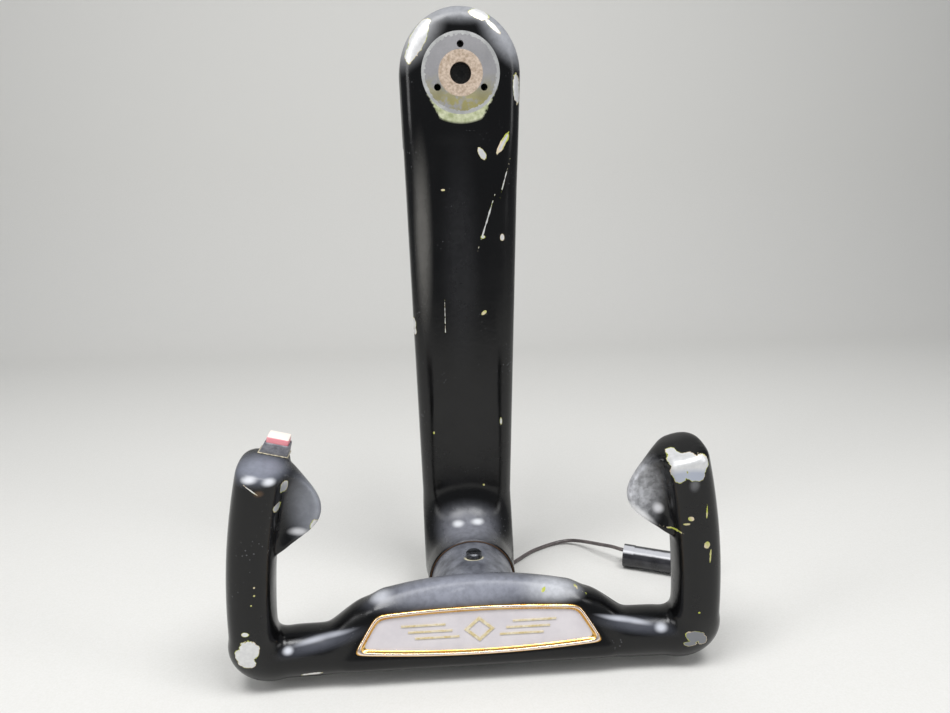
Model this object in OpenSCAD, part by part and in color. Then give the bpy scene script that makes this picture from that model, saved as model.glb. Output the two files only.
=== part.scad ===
// Aircraft control column arm with a U-shaped control wheel.
// A hollow cast arm hangs from the aircraft's column tube by the bore at its top.
// Its lower end carries the wheel shaft, which a chain links to a sprocket on the hub axis.
// Origin: mouth of the column bore. +Z up the arm, the pilot sits towards -Y.

/* [Arm] */
// Distance from the hub axis down to the wheel axis
arm_length = 325; // [300:1:360]
// Width of the arm across the hub
arm_top_w = 77; // [74:0.5:80]
// Width of the arm across the wheel axis
arm_bottom_w = 62; // [60:0.5:66]
// Height of the arm's round top above the hub axis
arm_top_h = 40.5; // [39:0.5:42]
// Depth of the arm, front face to rear rim
arm_depth = 30; // [29:0.5:34]
// Wall thickness of the casting
arm_wall = 5; // [4:0.5:6]
// Radius of the rounded front edges
shoulder_r = 12; // [8:1:16]
// How far the wheel shaft boss stands out of the front face
boss_len = 36; // [30:1:40]
// Outer radius of the boss at its rim
boss_rim_r = 29; // [28.5:0.25:31]

/* [Hub] */
// Outer diameter of the machined hub plate
hub_plate_d = 48.5; // [48:0.5:50]
// Thickness of the hub plate
hub_plate_t = 4; // [3:0.5:4]
// Circle of the three screw holes in the hub plate
hub_pcd = 33.4; // [32.5:0.1:34.5]
// Diameter of the three screw holes
hub_hole_d = 4.3; // [3.5:0.1:4.4]
// Diameter of the front hole in the hub
hub_hole_front_d = 13.2; // [10:0.1:14]
// Diameter of the bore that takes the aircraft's column tube
column_bore_d = 35; // [33:0.5:36]
// How far the rear boss stands out of the rear face
rear_boss_len = 12; // [10:1:16]
// Diameter of the sprocket bore that takes the aileron torque shaft
torque_bore_d = 12.7; // [10:0.1:13]

/* [Wheel] */
// Overall width of the wheel across its horns
wheel_w = 289.5; // [280:0.5:300]
// Height of the horn tops above the wheel axis
horn_top = 109.5; // [104:0.5:112]
// Half width of a horn
horn_half_w = 13.4; // [12:0.2:14]
// Half depth of a horn, front to back
horn_half_d = 15; // [13:0.5:16]
// How far the top of each horn leans inwards
horn_lean = 13; // [8:1:15]
// Radius of the round arms of the crossbar
bar_r = 14.6; // [13:0.2:15]
// How far the thumb rest stands out of the horn
thumb_out = 22.5; // [16:0.5:26]
// Outer radius of the collar behind the crossbar
collar_r = 27.3; // [26:0.1:27.6]
// Outer diameter of the wheel shaft
shaft_d = 20; // [19:0.5:20]

/* [Badge] */
// Lean of the badge face from upright, in degrees
badge_lean = 19; // [15:1:23]
// Half length of the badge along its top edge
badge_top_half = 60.6; // [56:0.2:62]
// Half length of the badge along its bottom edge
badge_bottom_half = 74.3; // [70:0.1:75]
// Height of the badge at its ends
badge_end_h = 22.2; // [20:0.2:23]
// Width of the raised bezel
bezel_w = 3; // [2:0.25:4]

/* [Talk button] */
// Width of the push-to-talk switch housing
ptt_w = 15.6; // [14:0.2:17]
// Depth of the push-to-talk switch housing
ptt_d = 11; // [10.5:0.5:12]
// Height of the switch housing above the horn
ptt_h = 7; // [5:0.5:9]
// Travel of the button
ptt_travel = 1.5; // [0.5:0.1:2]

/* [Cable] */
// Outer diameter of the cable
cable_d = 2.8; // [2:0.1:3.2]
// Outer diameter of the in-line connector
plug_d = 17; // [15:0.5:18]

/* [Hidden] */

// Planes along the depth, from the column bore's mouth at zero to the badge in front
rear_y = -rear_boss_len;
front_y = rear_y - arm_depth;
rim_y = front_y - boss_len;
cover_t = 2.5;
cavity_y = rear_y - cover_t;
inner_y = front_y + arm_wall;
chain_y = front_y + 17;
wheel_z = -arm_length;
top_r = arm_top_w / 2;
bottom_r = arm_bottom_w / 2;
// The rear face is closed above this height and carries the cover below it
cover_top_z = -44;

// Outline of the arm seen from the front: a long taper between two round ends
arm_steps = 48;
taper = asin((top_r - bottom_r) / arm_length);
function arm_outline(inset) = concat(
    [for (i = [0:arm_steps])
        let (a = -taper + i * (180 + 2 * taper) / arm_steps)
        [(top_r - inset) * cos(a), (top_r - inset) * sin(a) * (sin(a) > 0 ? arm_top_h / top_r : 1)]],
    [for (i = [0:arm_steps])
        let (a = 180 + taper + i * (180 - 2 * taper) / arm_steps)
        [(bottom_r - inset) * cos(a), (bottom_r - inset) * sin(a) - arm_length]]);
function arm_half_w(z) = top_r / cos(taper) + z * tan(taper);

// A closed skin through rings that all have the same number of points. Seen along the
// way from the first ring to the last, each ring's points run clockwise. End rings that
// aren't flat are closed by triangles around their middle.
function middle(r) = [for (i = r) 1] * r / len(r);
module loft(rings, flat_ends = true) {
    n = len(rings[0]);
    m = len(rings);
    sides = [for (j = [0:m - 2]) for (i = [0:n - 1]) each
        let (a = j * n + i, b = j * n + (i + 1) % n)
        [[a, a + n, b], [b, a + n, b + n]]];
    first = flat_ends ? [[for (i = [0:n - 1]) i]]
                      : [for (i = [0:n - 1]) [i, (i + 1) % n, m * n]];
    last = flat_ends ? [[for (i = [n - 1:-1:0]) (m - 1) * n + i]]
                     : [for (i = [0:n - 1]) [(m - 1) * n + (i + 1) % n, (m - 1) * n + i, m * n + 1]];
    middles = flat_ends ? [] : [middle(rings[0]), middle(rings[m - 1])];
    polyhedron(points = concat([for (r = rings) each r], middles), faces = concat(sides, first, last));
}

// Extrudes a front-view drawing from y_a back to y_b
module plate_y(y_a, y_b) {
    translate([0, y_b, 0]) rotate([90, 0, 0]) linear_extrude(y_b - y_a) children();
}

// A cylinder along the depth, from y_a back to y_b, on the axis at height z
module rod_y(r, y_a, y_b, z = 0, x = 0, n = 64) {
    translate([x, y_b, z]) rotate([90, 0, 0]) cylinder(r = r, h = y_b - y_a, $fn = n);
}

module ring_y(r_out, r_in, y_a, y_b, z = 0, n = 64) {
    difference() {
        rod_y(r_out, y_a, y_b, z, 0, n);
        rod_y(r_in, y_a - 1, y_b + 1, z, 0, n);
    }
}

// Arm casting: rounded front edges, hollow from behind
shoulder_steps = 6;
shoulder_depth = 10;
module arm_skin() {
    rings = concat(
        [[for (p = arm_outline(0)) [p[0], cavity_y, p[1]]]],
        [for (k = [shoulder_steps:-1:0])
            let (t = 90 * k / shoulder_steps,
                 inset = shoulder_r * (1 - sin(t)) * 0.75,
                 y = front_y + shoulder_depth * (1 - cos(t)))
            [for (p = arm_outline(inset)) [p[0], y, p[1]]]]);
    loft(rings);
}

// Raised central land of the front face, wider towards the wheel
land_top_z = -34;
land_bottom_z = -292;
land_top_half = 12.5;
land_bottom_half = 20;
land_rise = 0.8;
module front_land() {
    plate_y(front_y - land_rise, front_y + 1)
        polygon([[-land_top_half, land_top_z], [land_top_half, land_top_z],
                 [land_bottom_half, land_bottom_z], [-land_bottom_half, land_bottom_z]]);
}

// Wheel shaft boss with its concave sweep into the front face
sweep_r = 24;
boss_root_r = 31;
module shaft_boss() {
    profile = concat(
        [[0, 0], [boss_root_r + sweep_r, 0]],
        [for (k = [1:8]) let (t = 90 * k / 8)
            [boss_root_r + sweep_r * (1 - sin(t)), sweep_r * (1 - cos(t))]],
        [[boss_rim_r, boss_len], [0, boss_len]]);
    intersection() {
        translate([0, front_y + 1, wheel_z]) rotate([90, 0, 0])
            rotate_extrude($fn = 72) polygon(profile);
        plate_y(rim_y - 1, front_y + 2) polygon(arm_outline(0));
    }
}

// Cover screws: [x side, height]
screw_r = 1.7;
screw_head_r = 3.4;
screw_inset = 7;
lug_r = 5;
lug_len = 6.2;
screw_rows = [-62, -142, -222, -302];
screw_places = concat(
    [for (z = screw_rows) for (s = [-1, 1]) [s * (arm_half_w(z) - screw_inset), z]]);

collar_recess = 4;
bush_r = 14;
ledge_r = 22;
rear_bush_r = 15;
column_bush_r = 20.5;
column_bush_len = 13;
rear_boss_r = 26;
module arm_casting() {
    color([0.05, 0.05, 0.05])
    difference() {
        union() {
            difference() {
                arm_skin();
                plate_y(inner_y, cavity_y + 1) polygon(arm_outline(arm_wall));
            }
            front_land();
            shaft_boss();
            // wall behind the hub plate and the closed rear face with its boss
            rod_y(top_r - 3, inner_y - 1, inner_y + 3);
            intersection() {
                plate_y(rear_y - 8, rear_y) polygon(arm_outline(0));
                translate([-50, rear_y - 9, cover_top_z]) cube([100, 10, 100]);
            }
            rod_y(rear_boss_r, rear_y - 1, 0);
            for (p = screw_places) rod_y(lug_r, cavity_y - lug_len, cavity_y, p[1], p[0], 32);
        }
        // hub plate seat, sprocket way and column bore
        rod_y(hub_plate_d / 2, front_y - 1, front_y + hub_plate_t);
        rod_y(ledge_r, front_y, inner_y + 4);
        rod_y(rear_bush_r, rear_y - 9, rear_y);
        rod_y(column_bush_r, -column_bush_len, 1);
        // shaft bore with the collar's recess
        rod_y(bush_r, rim_y - 1, inner_y + 1, wheel_z);
        rod_y(collar_r + 0.5, rim_y - 1, rim_y + collar_recess, wheel_z);
        for (p = screw_places) rod_y(screw_r, cavity_y - lug_len - 1, cavity_y + 1, p[1], p[0], 24);
    }
}

// Rear cover plate and its screws
grommet_hole_r = 5;
module back_cover() {
    color([0.07, 0.07, 0.07])
    difference() {
        intersection() {
            plate_y(cavity_y, rear_y) polygon(arm_outline(1));
            translate([-50, cavity_y - 1, -400]) cube([100, 10, 400 + cover_top_z - 0.3]);
        }
        for (p = screw_places) rod_y(screw_r + 0.2, cavity_y - 1, rear_y + 1, p[1], p[0], 24);
        rod_y(grommet_hole_r, cavity_y - 1, rear_y + 1, wheel_z);
    }
}

module cover_screws() {
    color([0.6, 0.6, 0.58])
    for (p = screw_places) {
        difference() {
            union() {
                rod_y(screw_r - 0.05, cavity_y - lug_len + 0.5, rear_y + 0.5, p[1], p[0], 24);
                rod_y(screw_head_r, rear_y, rear_y + 1.8, p[1], p[0], 32);
            }
            translate([p[0] - 4, rear_y + 0.9, p[1] - 0.45]) cube([8, 2, 0.9]);
        }
    }
}

// Hub plate with three tapped holes and a seat for the bush flange
flange_r = 13.75;
flange_t = 2;
front_bush_r = 12;
journal_r = 9.5;
journal_fit = 0.05;
module hub_plate() {
    color([0.62, 0.61, 0.58])
    difference() {
        rod_y(hub_plate_d / 2, front_y, front_y + hub_plate_t);
        rod_y(flange_r, front_y - 1, front_y + flange_t);
        rod_y(front_bush_r, front_y, front_y + hub_plate_t + 1);
        for (a = [90, 210, 330])
            rod_y(hub_hole_d / 2, front_y - 1, front_y + hub_plate_t + 1,
                  hub_pcd / 2 * sin(a), hub_pcd / 2 * cos(a), 32);
    }
}

module hub_front_bush() {
    color([0.42, 0.30, 0.20])
    difference() {
        union() {
            rod_y(flange_r, front_y, front_y + flange_t);
            rod_y(front_bush_r, front_y + 1, front_y + 9);
        }
        rod_y(hub_hole_front_d / 2, front_y - 1, front_y + 4);
        rod_y(journal_r + journal_fit, front_y + 3, front_y + 10);
    }
}

rear_journal_r = 12;
module hub_rear_bush() {
    color([0.70, 0.52, 0.28])
    ring_y(rear_bush_r, rear_journal_r + journal_fit, rear_y - 8, -column_bush_len - 0.5);
}

module column_bush() {
    color([0.70, 0.52, 0.28])
    ring_y(column_bush_r, column_bore_d / 2, -column_bush_len, 0, 0, 96);
}

// Chain wheels: 13 teeth at three eighths of an inch
teeth = 13;
pitch = 9.525;
pitch_r = pitch / 2 / sin(180 / teeth);
tooth_tip_r = pitch_r + 1.8;
roller_r = 2.6;
sprocket_t = 3;
module sprocket_disc(z) {
    difference() {
        rod_y(tooth_tip_r, chain_y - sprocket_t / 2, chain_y + sprocket_t / 2, z);
        for (i = [0:teeth - 1])
            rod_y(roller_r, chain_y - 3, chain_y + 3, z + pitch_r * sin(i * 360 / teeth),
                  pitch_r * cos(i * 360 / teeth), 24);
    }
}

key_w = 3.2;
// Front end of the hub, which closes the torque bore and keeps its lathe centre
hub_end_y = front_y + 4.5;
hub_web = 2.5;
centre_r = 2;
centre_t = 1;
module hub_sprocket() {
    color([0.45, 0.45, 0.46])
    difference() {
        union() {
            sprocket_disc(0);
            rod_y(journal_r, hub_end_y, chain_y);
            rod_y(14, front_y + 9.5, rear_y - 8.5);
            rod_y(rear_journal_r, chain_y, -column_bush_len - 0.5);
        }
        rod_y(torque_bore_d / 2, hub_end_y + hub_web, 0);
        rod_y(centre_r, hub_end_y - 1, hub_end_y + centre_t);
        translate([-key_w / 2, front_y + 10, torque_bore_d / 2 - 1]) cube([key_w, 30, 2.6]);
    }
}

// Chain: two runs of side plates, with rollers between them on the straight stretches
link_half_h = 3.8;
link_t = 1.2;
link_gap = 0.5;
plate_in = sprocket_t / 2 + link_gap;
rollers = floor((arm_length - 2 * pitch) / pitch);
module chain_plates() {
    difference() {
        union() {
            for (z = [0, wheel_z]) circle_at(pitch_r + link_half_h, z);
            translate([-pitch_r - link_half_h, wheel_z])
                square([2 * (pitch_r + link_half_h), arm_length]);
        }
        for (z = [0, wheel_z]) circle_at(pitch_r - link_half_h, z);
        translate([-pitch_r + link_half_h, wheel_z])
            square([2 * (pitch_r - link_half_h), arm_length]);
    }
}

module circle_at(r, z) {
    translate([0, z]) circle(r = r, $fn = 96);
}

module control_chain() {
    color([0.36, 0.35, 0.34])
    union() {
        for (s = [-1, 1])
            plate_y(chain_y + s * (plate_in + link_t / 2) - link_t / 2,
                    chain_y + s * (plate_in + link_t / 2) + link_t / 2) chain_plates();
        for (s = [-1, 1]) for (i = [0:rollers - 1])
            rod_y(roller_r, chain_y - plate_in - 0.2, chain_y + plate_in + 0.2,
                  wheel_z + arm_length / 2 + (i - (rollers - 1) / 2) * pitch, s * pitch_r, 20);
    }
}

// Wheel shaft, its bushes and what holds the lower sprocket
shaft_r = shaft_d / 2;
shaft_bore_r = 5.5;
shaft_front_y = front_y - 86;
shaft_rear_y = cavity_y - 2;
thrust_t = 1.5;
module shaft_front_bush() {
    color([0.70, 0.52, 0.28])
    difference() {
        union() {
            rod_y(bush_r, rim_y + collar_recess, rim_y + 20, wheel_z);
            rod_y(18, rim_y + collar_recess - thrust_t, rim_y + collar_recess, wheel_z);
        }
        rod_y(shaft_r + journal_fit, rim_y, rim_y + 21, wheel_z);
    }
}

module shaft_rear_bush() {
    color([0.70, 0.52, 0.28])
    ring_y(bush_r, shaft_r + journal_fit, inner_y - 14, inner_y, wheel_z);
}

nut_t = 4.5;
washer_t = 1;
sprocket_front_y = inner_y + 1;
module wheel_shaft() {
    color([0.55, 0.55, 0.56])
    difference() {
        rod_y(shaft_r, shaft_front_y, shaft_rear_y, wheel_z);
        rod_y(shaft_bore_r, shaft_front_y - 1, shaft_rear_y + 1, wheel_z);
        // seats of the key, the collar screw and the cross pin
        translate([-key_w / 2, sprocket_front_y + 1, wheel_z + shaft_r - 1.6]) cube([key_w, 10, 3]);
        translate([0, collar_screw_y, wheel_z]) cylinder(r = 2.5, h = 20, $fn = 32);
        translate([0, pin_y, wheel_z - 20]) cylinder(r = pin_r, h = 20, $fn = 32);
    }
}

module wheel_sprocket() {
    color([0.45, 0.45, 0.46])
    difference() {
        union() {
            sprocket_disc(wheel_z);
            rod_y(15, sprocket_front_y, chain_y + 2.5, wheel_z);
        }
        rod_y(shaft_r, inner_y, rear_y, wheel_z);
        translate([-key_w / 2, inner_y, wheel_z + shaft_r - 1]) cube([key_w, 30, 2.6]);
    }
}

module sprocket_key() {
    color([0.55, 0.55, 0.56])
    translate([-key_w / 2, sprocket_front_y + 1, wheel_z + shaft_r - 1.6]) cube([key_w, 9, 3.2]);
}

module sprocket_washer() {
    color([0.62, 0.62, 0.60])
    ring_y(14.5, shaft_r, chain_y + 2.5, chain_y + 2.5 + washer_t, wheel_z);
}

module sprocket_nut() {
    color([0.62, 0.62, 0.60])
    difference() {
        translate([0, chain_y + 2.5 + washer_t, wheel_z]) rotate([-90, 0, 0])
            cylinder(r = 15.5, h = nut_t, $fn = 6);
        rod_y(shaft_r, chain_y, rear_y, wheel_z);
    }
}

// Collar behind the crossbar and the screw that locks it to the shaft
collar_front_y = front_y - 76;
collar_screw_y = front_y - 54;
collar_screw_r = 4.9;
collar_seat = 1.2;
collar_screw_rise = 3.4;
module wheel_collar() {
    color([0.22, 0.22, 0.22])
    difference() {
        rod_y(collar_r, collar_front_y, rim_y + collar_recess - thrust_t - 0.4, wheel_z, 0, 96);
        rod_y(shaft_r, collar_front_y - 1, rim_y + 10, wheel_z);
        translate([0, collar_screw_y, wheel_z]) cylinder(r = 2.5, h = 40, $fn = 32);
        translate([0, collar_screw_y, wheel_z + collar_r - collar_seat])
            cylinder(r = collar_screw_r + 0.3, h = 10, $fn = 48);
    }
}

module collar_screw() {
    color([0.5, 0.49, 0.46])
    translate([0, collar_screw_y, wheel_z])
    difference() {
        union() {
            translate([0, 0, shaft_r - 3])
                cylinder(r = 2.45, h = collar_r - collar_seat - shaft_r + 3.5, $fn = 32);
            translate([0, 0, collar_r - collar_seat])
                cylinder(r = collar_screw_r, h = collar_seat + collar_screw_rise - 0.8, $fn = 48);
            translate([0, 0, collar_r + collar_screw_rise - 0.8])
                cylinder(r1 = collar_screw_r, r2 = collar_screw_r - 0.8, h = 0.8, $fn = 48);
        }
        translate([-6, -0.7, collar_r + collar_screw_rise - 1.4]) cube([12, 1.4, 3]);
    }
}

// Cross pin that carries the wheel on the shaft
pin_r = 3;
pin_y = front_y - 80;
module wheel_pin() {
    color([0.55, 0.55, 0.56])
    translate([0, pin_y, wheel_z - 22]) cylinder(r = pin_r, h = 14.5, $fn = 32);
}

// Wheel casting: one smooth skin that runs down the right horn, along the crossbar
// and up the left horn. Each ring is a rounded section with its own reach to the inner,
// outer, front and rear side.
wheel_half = wheel_w / 2;
horn_x = wheel_half - horn_half_w;
horn_y = front_y - 90;
bar_y = front_y - 85;
case_y = front_y - 79;
bar_z = -11.3;
corner_r = 18;
horn_z = bar_z + corner_r;
section_n = 30;

function smooth(t) = let (c = min(max(t, 0), 1)) c * c * (3 - 2 * c);
function mix(a, b, t) = a + (b - a) * t;
function power(v, e) = sign(v) * pow(abs(v), e);

// One ring: centre, angle of the inner side, reaches [inner, outer, front, rear],
// squareness, lean of the front face and reach of the thumb rest
function ring(c, angle, reach, square, lean, thumb) =
    [for (i = [0:section_n - 1])
        let (p = 360 * i / section_n,
             u = power(cos(p), 2 / square) * (cos(p) > 0 ? reach[0] : reach[1]),
             v = power(sin(p), 2 / square) * (sin(p) > 0 ? reach[3] : reach[2]),
             near = p > 180 ? p - 360 : p,
             bump = thumb * exp(-pow(near / 34, 2)),
             n = u + bump,
             y = v + lean * u * max(0, -v) / reach[2] + bump * 0.22)
        [c[0] + n * cos(angle), c[1] + y, c[2] + n * sin(angle)]];

function lean_x(z) = horn_lean * pow((z - horn_z) / (horn_top - horn_z), 2);
function lean_angle(z) = atan(2 * horn_lean * (z - horn_z) / pow(horn_top - horn_z, 2));
thumb_low = 56;
thumb_high = 111;
function thumb_at(z) = thumb_out * max(0, sin(180 * (z - thumb_low) / (thumb_high - thumb_low)));

// The back of the horn swells towards its top, and the top rises from the front edge
// to a crest and runs level from there
swell = 7;
swell_from = 45;
function horn_rear(z) = horn_half_d + swell * smooth((z - swell_from) / (horn_top - swell_from));
top_slope = 0.18;
crest = 10;
function top_rise(y) = min(y - horn_y, crest) * top_slope;
function raised(r, z) =
    let (w = smooth((z - swell_from) / (horn_top - swell_from)))
    [for (p = r) [p[0], p[1], p[2] + w * top_rise(p[1])]];

// Rings of the right half, from the horn's top to the middle of the crossbar
top_round = 4;
horn_square = 2.7;
bar_square = 2.2;
function horn_ring(z, cut, thumb) =
    raised(ring([horn_x - lean_x(z), horn_y, z], 180 + lean_angle(z),
                [horn_half_w - cut, horn_half_w - cut, horn_half_d - cut, horn_rear(z) - cut],
                horn_square, 0, thumb), z);
horn_rings = [for (k = [0:3])
        let (t = 90 * k / 3, z = horn_top - top_round * (1 - cos(t)))
        horn_ring(z, top_round * (1 - sin(t)), thumb_at(z) * 0.8)];
grip_rings = [for (k = [1:15])
        let (z = mix(horn_top - top_round, horn_z, k / 15)) horn_ring(z, 0, thumb_at(z))];
corner_rings = [for (k = [1:6])
        let (a = 90 * k / 6, t = k / 6)
        ring([horn_x - corner_r * (1 - cos(a)), mix(horn_y, bar_y, t), horn_z - corner_r * sin(a)],
             180 - a,
             [horn_half_w, mix(horn_half_w, bar_r, t) + 5 * sin(2 * a),
              mix(horn_half_d, bar_r, t), mix(horn_half_d, bar_r, t)],
             mix(horn_square, bar_square, t), 0, 0)];

// The crossbar swells into the badge case, whose top is shorter than its foot and crowned
case_up = 21;
case_crown = 6.6;
case_down = 23.5;
case_front = 16;
case_rear = 12;
case_top_from = 78;
case_top_to = 62;
// How far the ends of the case draw in towards the back
rear_draw = 10;
case_foot_from = 92;
case_foot_to = 76;
bar_stations = [for (k = [1:5]) mix(horn_x - corner_r, case_foot_from, k / 5),
                for (k = [1:10]) mix(case_foot_from, case_top_to, k / 10),
                for (k = [1:6]) case_top_to * (1 - k / 6)];
bar_rings = [for (x = bar_stations)
        let (top = smooth((case_top_from - x) / (case_top_from - case_top_to)),
             foot = smooth((case_foot_from - x) / (case_foot_from - case_foot_to)),
             crown = case_crown * (1 - pow(min(x, case_top_to) / case_top_to, 2)))
        drawn_in(ring([x, mix(bar_y, case_y, foot), mix(bar_z, 0, foot)], 90,
                      [mix(bar_r, case_up + crown, top), mix(bar_r, case_down, foot),
                       mix(bar_r, case_front, foot), mix(bar_r, case_rear, foot)],
                      mix(bar_square, 3.4, foot), tan(badge_lean) * foot, 0),
                 rear_draw * foot * min(x / case_top_to, 1))];
function drawn_in(r, draw) =
    [for (p = r) [p[0] - draw * (p[1] - case_y + case_front) / (case_front + case_rear), p[1], p[2]]];
right_half = concat(horn_rings, grip_rings, corner_rings, bar_rings);
function mirrored(r) = [for (p = r) [-p[0], p[1], p[2]]];
wheel_rings = concat(right_half,
    [for (k = [len(right_half) - 2:-1:0]) mirrored(right_half[k])]);

// Badge face: a plane that leans back, drawn flat and then stood up
badge_y = front_y - 94.2;
badge_z = 2.2;
badge_t = 1.6;
module on_badge() {
    translate([0, badge_y, wheel_z + badge_z]) rotate([90 - badge_lean, 0, 0]) children();
}

// Outline of the badge: bowed top and bottom edges, drawn in by a margin
bow_top = 2.4;
bow_bottom = 3.2;
bow_steps = 12;
seat_margin = 2.5;
function badge_outline(m) =
    let (h = badge_end_h / 2 - m, slope = (badge_bottom_half - badge_top_half) / badge_end_h,
         side = m * sqrt(1 + slope * slope) - m * slope,
         top = badge_top_half - side, foot = badge_bottom_half - side - 2 * m * slope)
    concat(
        [for (k = [0:bow_steps]) let (t = -1 + 2 * k / bow_steps)
            [foot * t, -h - bow_bottom * (1 - t * t)]],
        [for (k = [0:bow_steps]) let (t = 1 - 2 * k / bow_steps)
            [top * t, h + bow_top * (1 - t * t)]]);

module wheel_casting() {
    pocket = badge_t + 0.2;
    color([0.04, 0.04, 0.04])
    difference() {
        translate([0, 0, wheel_z]) loft(wheel_rings, false);
        // flat badge seat
        on_badge() linear_extrude(30) polygon(badge_outline(-seat_margin));
        on_badge() translate([0, 0, -pocket]) linear_extrude(10) polygon(badge_outline(bezel_w - 1));
        // seats of the collar, the shaft and its pin
        rod_y(collar_r, collar_front_y, front_y - 40, wheel_z, 0, 96);
        rod_y(shaft_r, shaft_front_y, front_y - 40, wheel_z);
        translate([0, pin_y, wheel_z - 40]) cylinder(r = pin_r, h = 40, $fn = 32);
        translate([0, pin_y, wheel_z - 40]) cylinder(r = pin_r + 1.5, h = 18, $fn = 32);
        // way of the lead: along the crossbar and up the left horn
        translate([-lead_x, lead_y, wheel_z + bar_z]) {
            rotate([0, 90, 0]) cylinder(r = lead_way_r, h = lead_x, $fn = 32);
            sphere(r = lead_way_r + 0.8, $fn = 32);
            rotate([-lead_tip, lead_tilt, 0]) cylinder(r = lead_way_r, h = lead_way_h, $fn = 32);
        }
        translate([0, lead_y, wheel_z + bar_z]) cylinder(r = lead_way_r - 0.3, h = -bar_z, $fn = 32);
        rod_y(shaft_bore_r + 0.5, lead_y - 1.5, shaft_front_y + 1, wheel_z);
        // seat of the housing, pocket of the switch and the step that its flange rests on
        on_horn() {
            translate([-ptt_w / 2 - flange_out, -ptt_d / 2 - flange_out, 0])
                cube([ptt_w + 2 * flange_out, ptt_d + 2 * flange_out, 20]);
            translate([0, switch_shift, -switch_from - flange_h])
                cylinder(r = switch_r + switch_lip + 0.05, h = 20, $fn = 48);
            translate([0, switch_shift, -switch_to - 3.5]) cylinder(r = switch_r + 0.05, h = 20, $fn = 48);
        }
    }
}
lead_x = horn_x - 1;
lead_y = bar_y - 4;
lead_way_r = 3.2;
lead_way_h = 110;
lead_tilt = 7;
lead_tip = 7.4;

module badge_bezel() {
    color([0.80, 0.60, 0.22])
    on_badge() difference() {
        linear_extrude(2) polygon(badge_outline(0));
        translate([0, 0, -1]) linear_extrude(4) polygon(badge_outline(bezel_w));
    }
}

module badge_plate() {
    color([0.78, 0.76, 0.77])
    on_badge() translate([0, 0, -badge_t]) linear_extrude(badge_t) polygon(badge_outline(bezel_w - 0.9));
}

// Plain ornament: a lozenge with short stepped bars on both sides
ornament_t = 0.5;
module badge_ornament() {
    color([0.80, 0.60, 0.22])
    on_badge() linear_extrude(ornament_t) {
        difference() {
            polygon([[-9, 0], [0, -7], [9, 0], [0, 7]]);
            polygon([[-6.4, 0], [0, -5], [6.4, 0], [0, 5]]);
        }
        for (s = [-1, 1]) for (k = [-1:1])
            translate([s * 29 + s * 4 * k, 3.6 * k]) square([26, 1], center = true);
    }
}

// Push-to-talk switch on the left horn: it stands on the crest, a little inboard
ptt_y = horn_y + 16;
ptt_shift = 4.3;
ptt_seat = 1.3;
module on_horn() {
    translate([-(horn_x - horn_lean), ptt_y, wheel_z + horn_top])
        rotate([0, lean_angle(horn_top), 0]) translate([ptt_shift, 0, ptt_seat]) children();
}

ptt_wall = 1.4;
ptt_fit = 0.35;
flange_out = 0.8;
module ptt_housing() {
    color([0.16, 0.16, 0.17])
    on_horn() difference() {
        union() {
            translate([-ptt_w / 2, -ptt_d / 2, 0]) cube([ptt_w, ptt_d, ptt_h]);
            translate([-ptt_w / 2 - flange_out, -ptt_d / 2 - flange_out, 0])
                cube([ptt_w + 2 * flange_out, ptt_d + 2 * flange_out, flange_h]);
        }
        translate([-ptt_w / 2 + ptt_wall, -ptt_d / 2 + ptt_wall, -1])
            cube([ptt_w - 2 * ptt_wall, ptt_d - 2 * ptt_wall, ptt_h + 2]);
    }
}

// The button's top slopes up a little towards the back. Its stem works the switch below.
button_front = 3.3;
button_back = 4.3;
button_from = ptt_travel + 1.7;
button_w = ptt_w - 2 * ptt_wall - 2 * ptt_fit;
button_d = ptt_d - 2 * ptt_wall - 2 * ptt_fit;
stem_r = 1.2;
stem_to = -0.6;
module ptt_button() {
    color([0.85, 0.28, 0.30])
    on_horn() union() {
        translate([-button_w / 2, -button_d / 2, 0]) rotate([90, 0, 90])
            linear_extrude(button_w)
                polygon([[0, button_from], [button_d, button_from],
                         [button_d, ptt_h + button_back], [0, ptt_h + button_front]]);
        translate([0, switch_shift, stem_to]) cylinder(r = stem_r, h = 5, $fn = 24);
    }
}

switch_shift = -1;
switch_r = 4.3;
switch_lip = 0.9;
switch_from = 2;
switch_to = 12;
flange_h = 1.2;
spring_r = 2.6;
module ptt_spring() {
    color([0.6, 0.6, 0.6])
    on_horn() translate([0, switch_shift, 0]) difference() {
        translate([0, 0, -switch_from]) cylinder(r = spring_r, h = button_from + switch_from, $fn = 32);
        translate([0, 0, -3]) cylinder(r = spring_r - 0.6, h = 8, $fn = 32);
    }
}

module ptt_switch() {
    color([0.12, 0.12, 0.12])
    on_horn() translate([0, switch_shift, 0]) difference() {
        union() {
            translate([0, 0, -switch_to]) cylinder(r = switch_r, h = switch_to - switch_from, $fn = 48);
            translate([0, 0, -switch_from - flange_h])
                cylinder(r = switch_r + switch_lip, h = flange_h, $fn = 48);
        }
        translate([0, 0, -5]) cylinder(r = stem_r + 0.4, h = 8, $fn = 24);
    }
}

module ptt_terminals() {
    color([0.75, 0.62, 0.35])
    on_horn() for (s = [-1, 1])
        translate([s * 2.1 - 0.4, switch_shift - 1.1, -switch_to - 3]) cube([0.8, 2.2, 3]);
}

// A tube swept along a route. Each ring stands square to the route at its own point.
tube_n = 8;
function unit(v) = v / norm(v);
function aim(r, i) = unit(r[min(i + 1, len(r) - 1)] - r[max(i - 1, 0)]);
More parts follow.
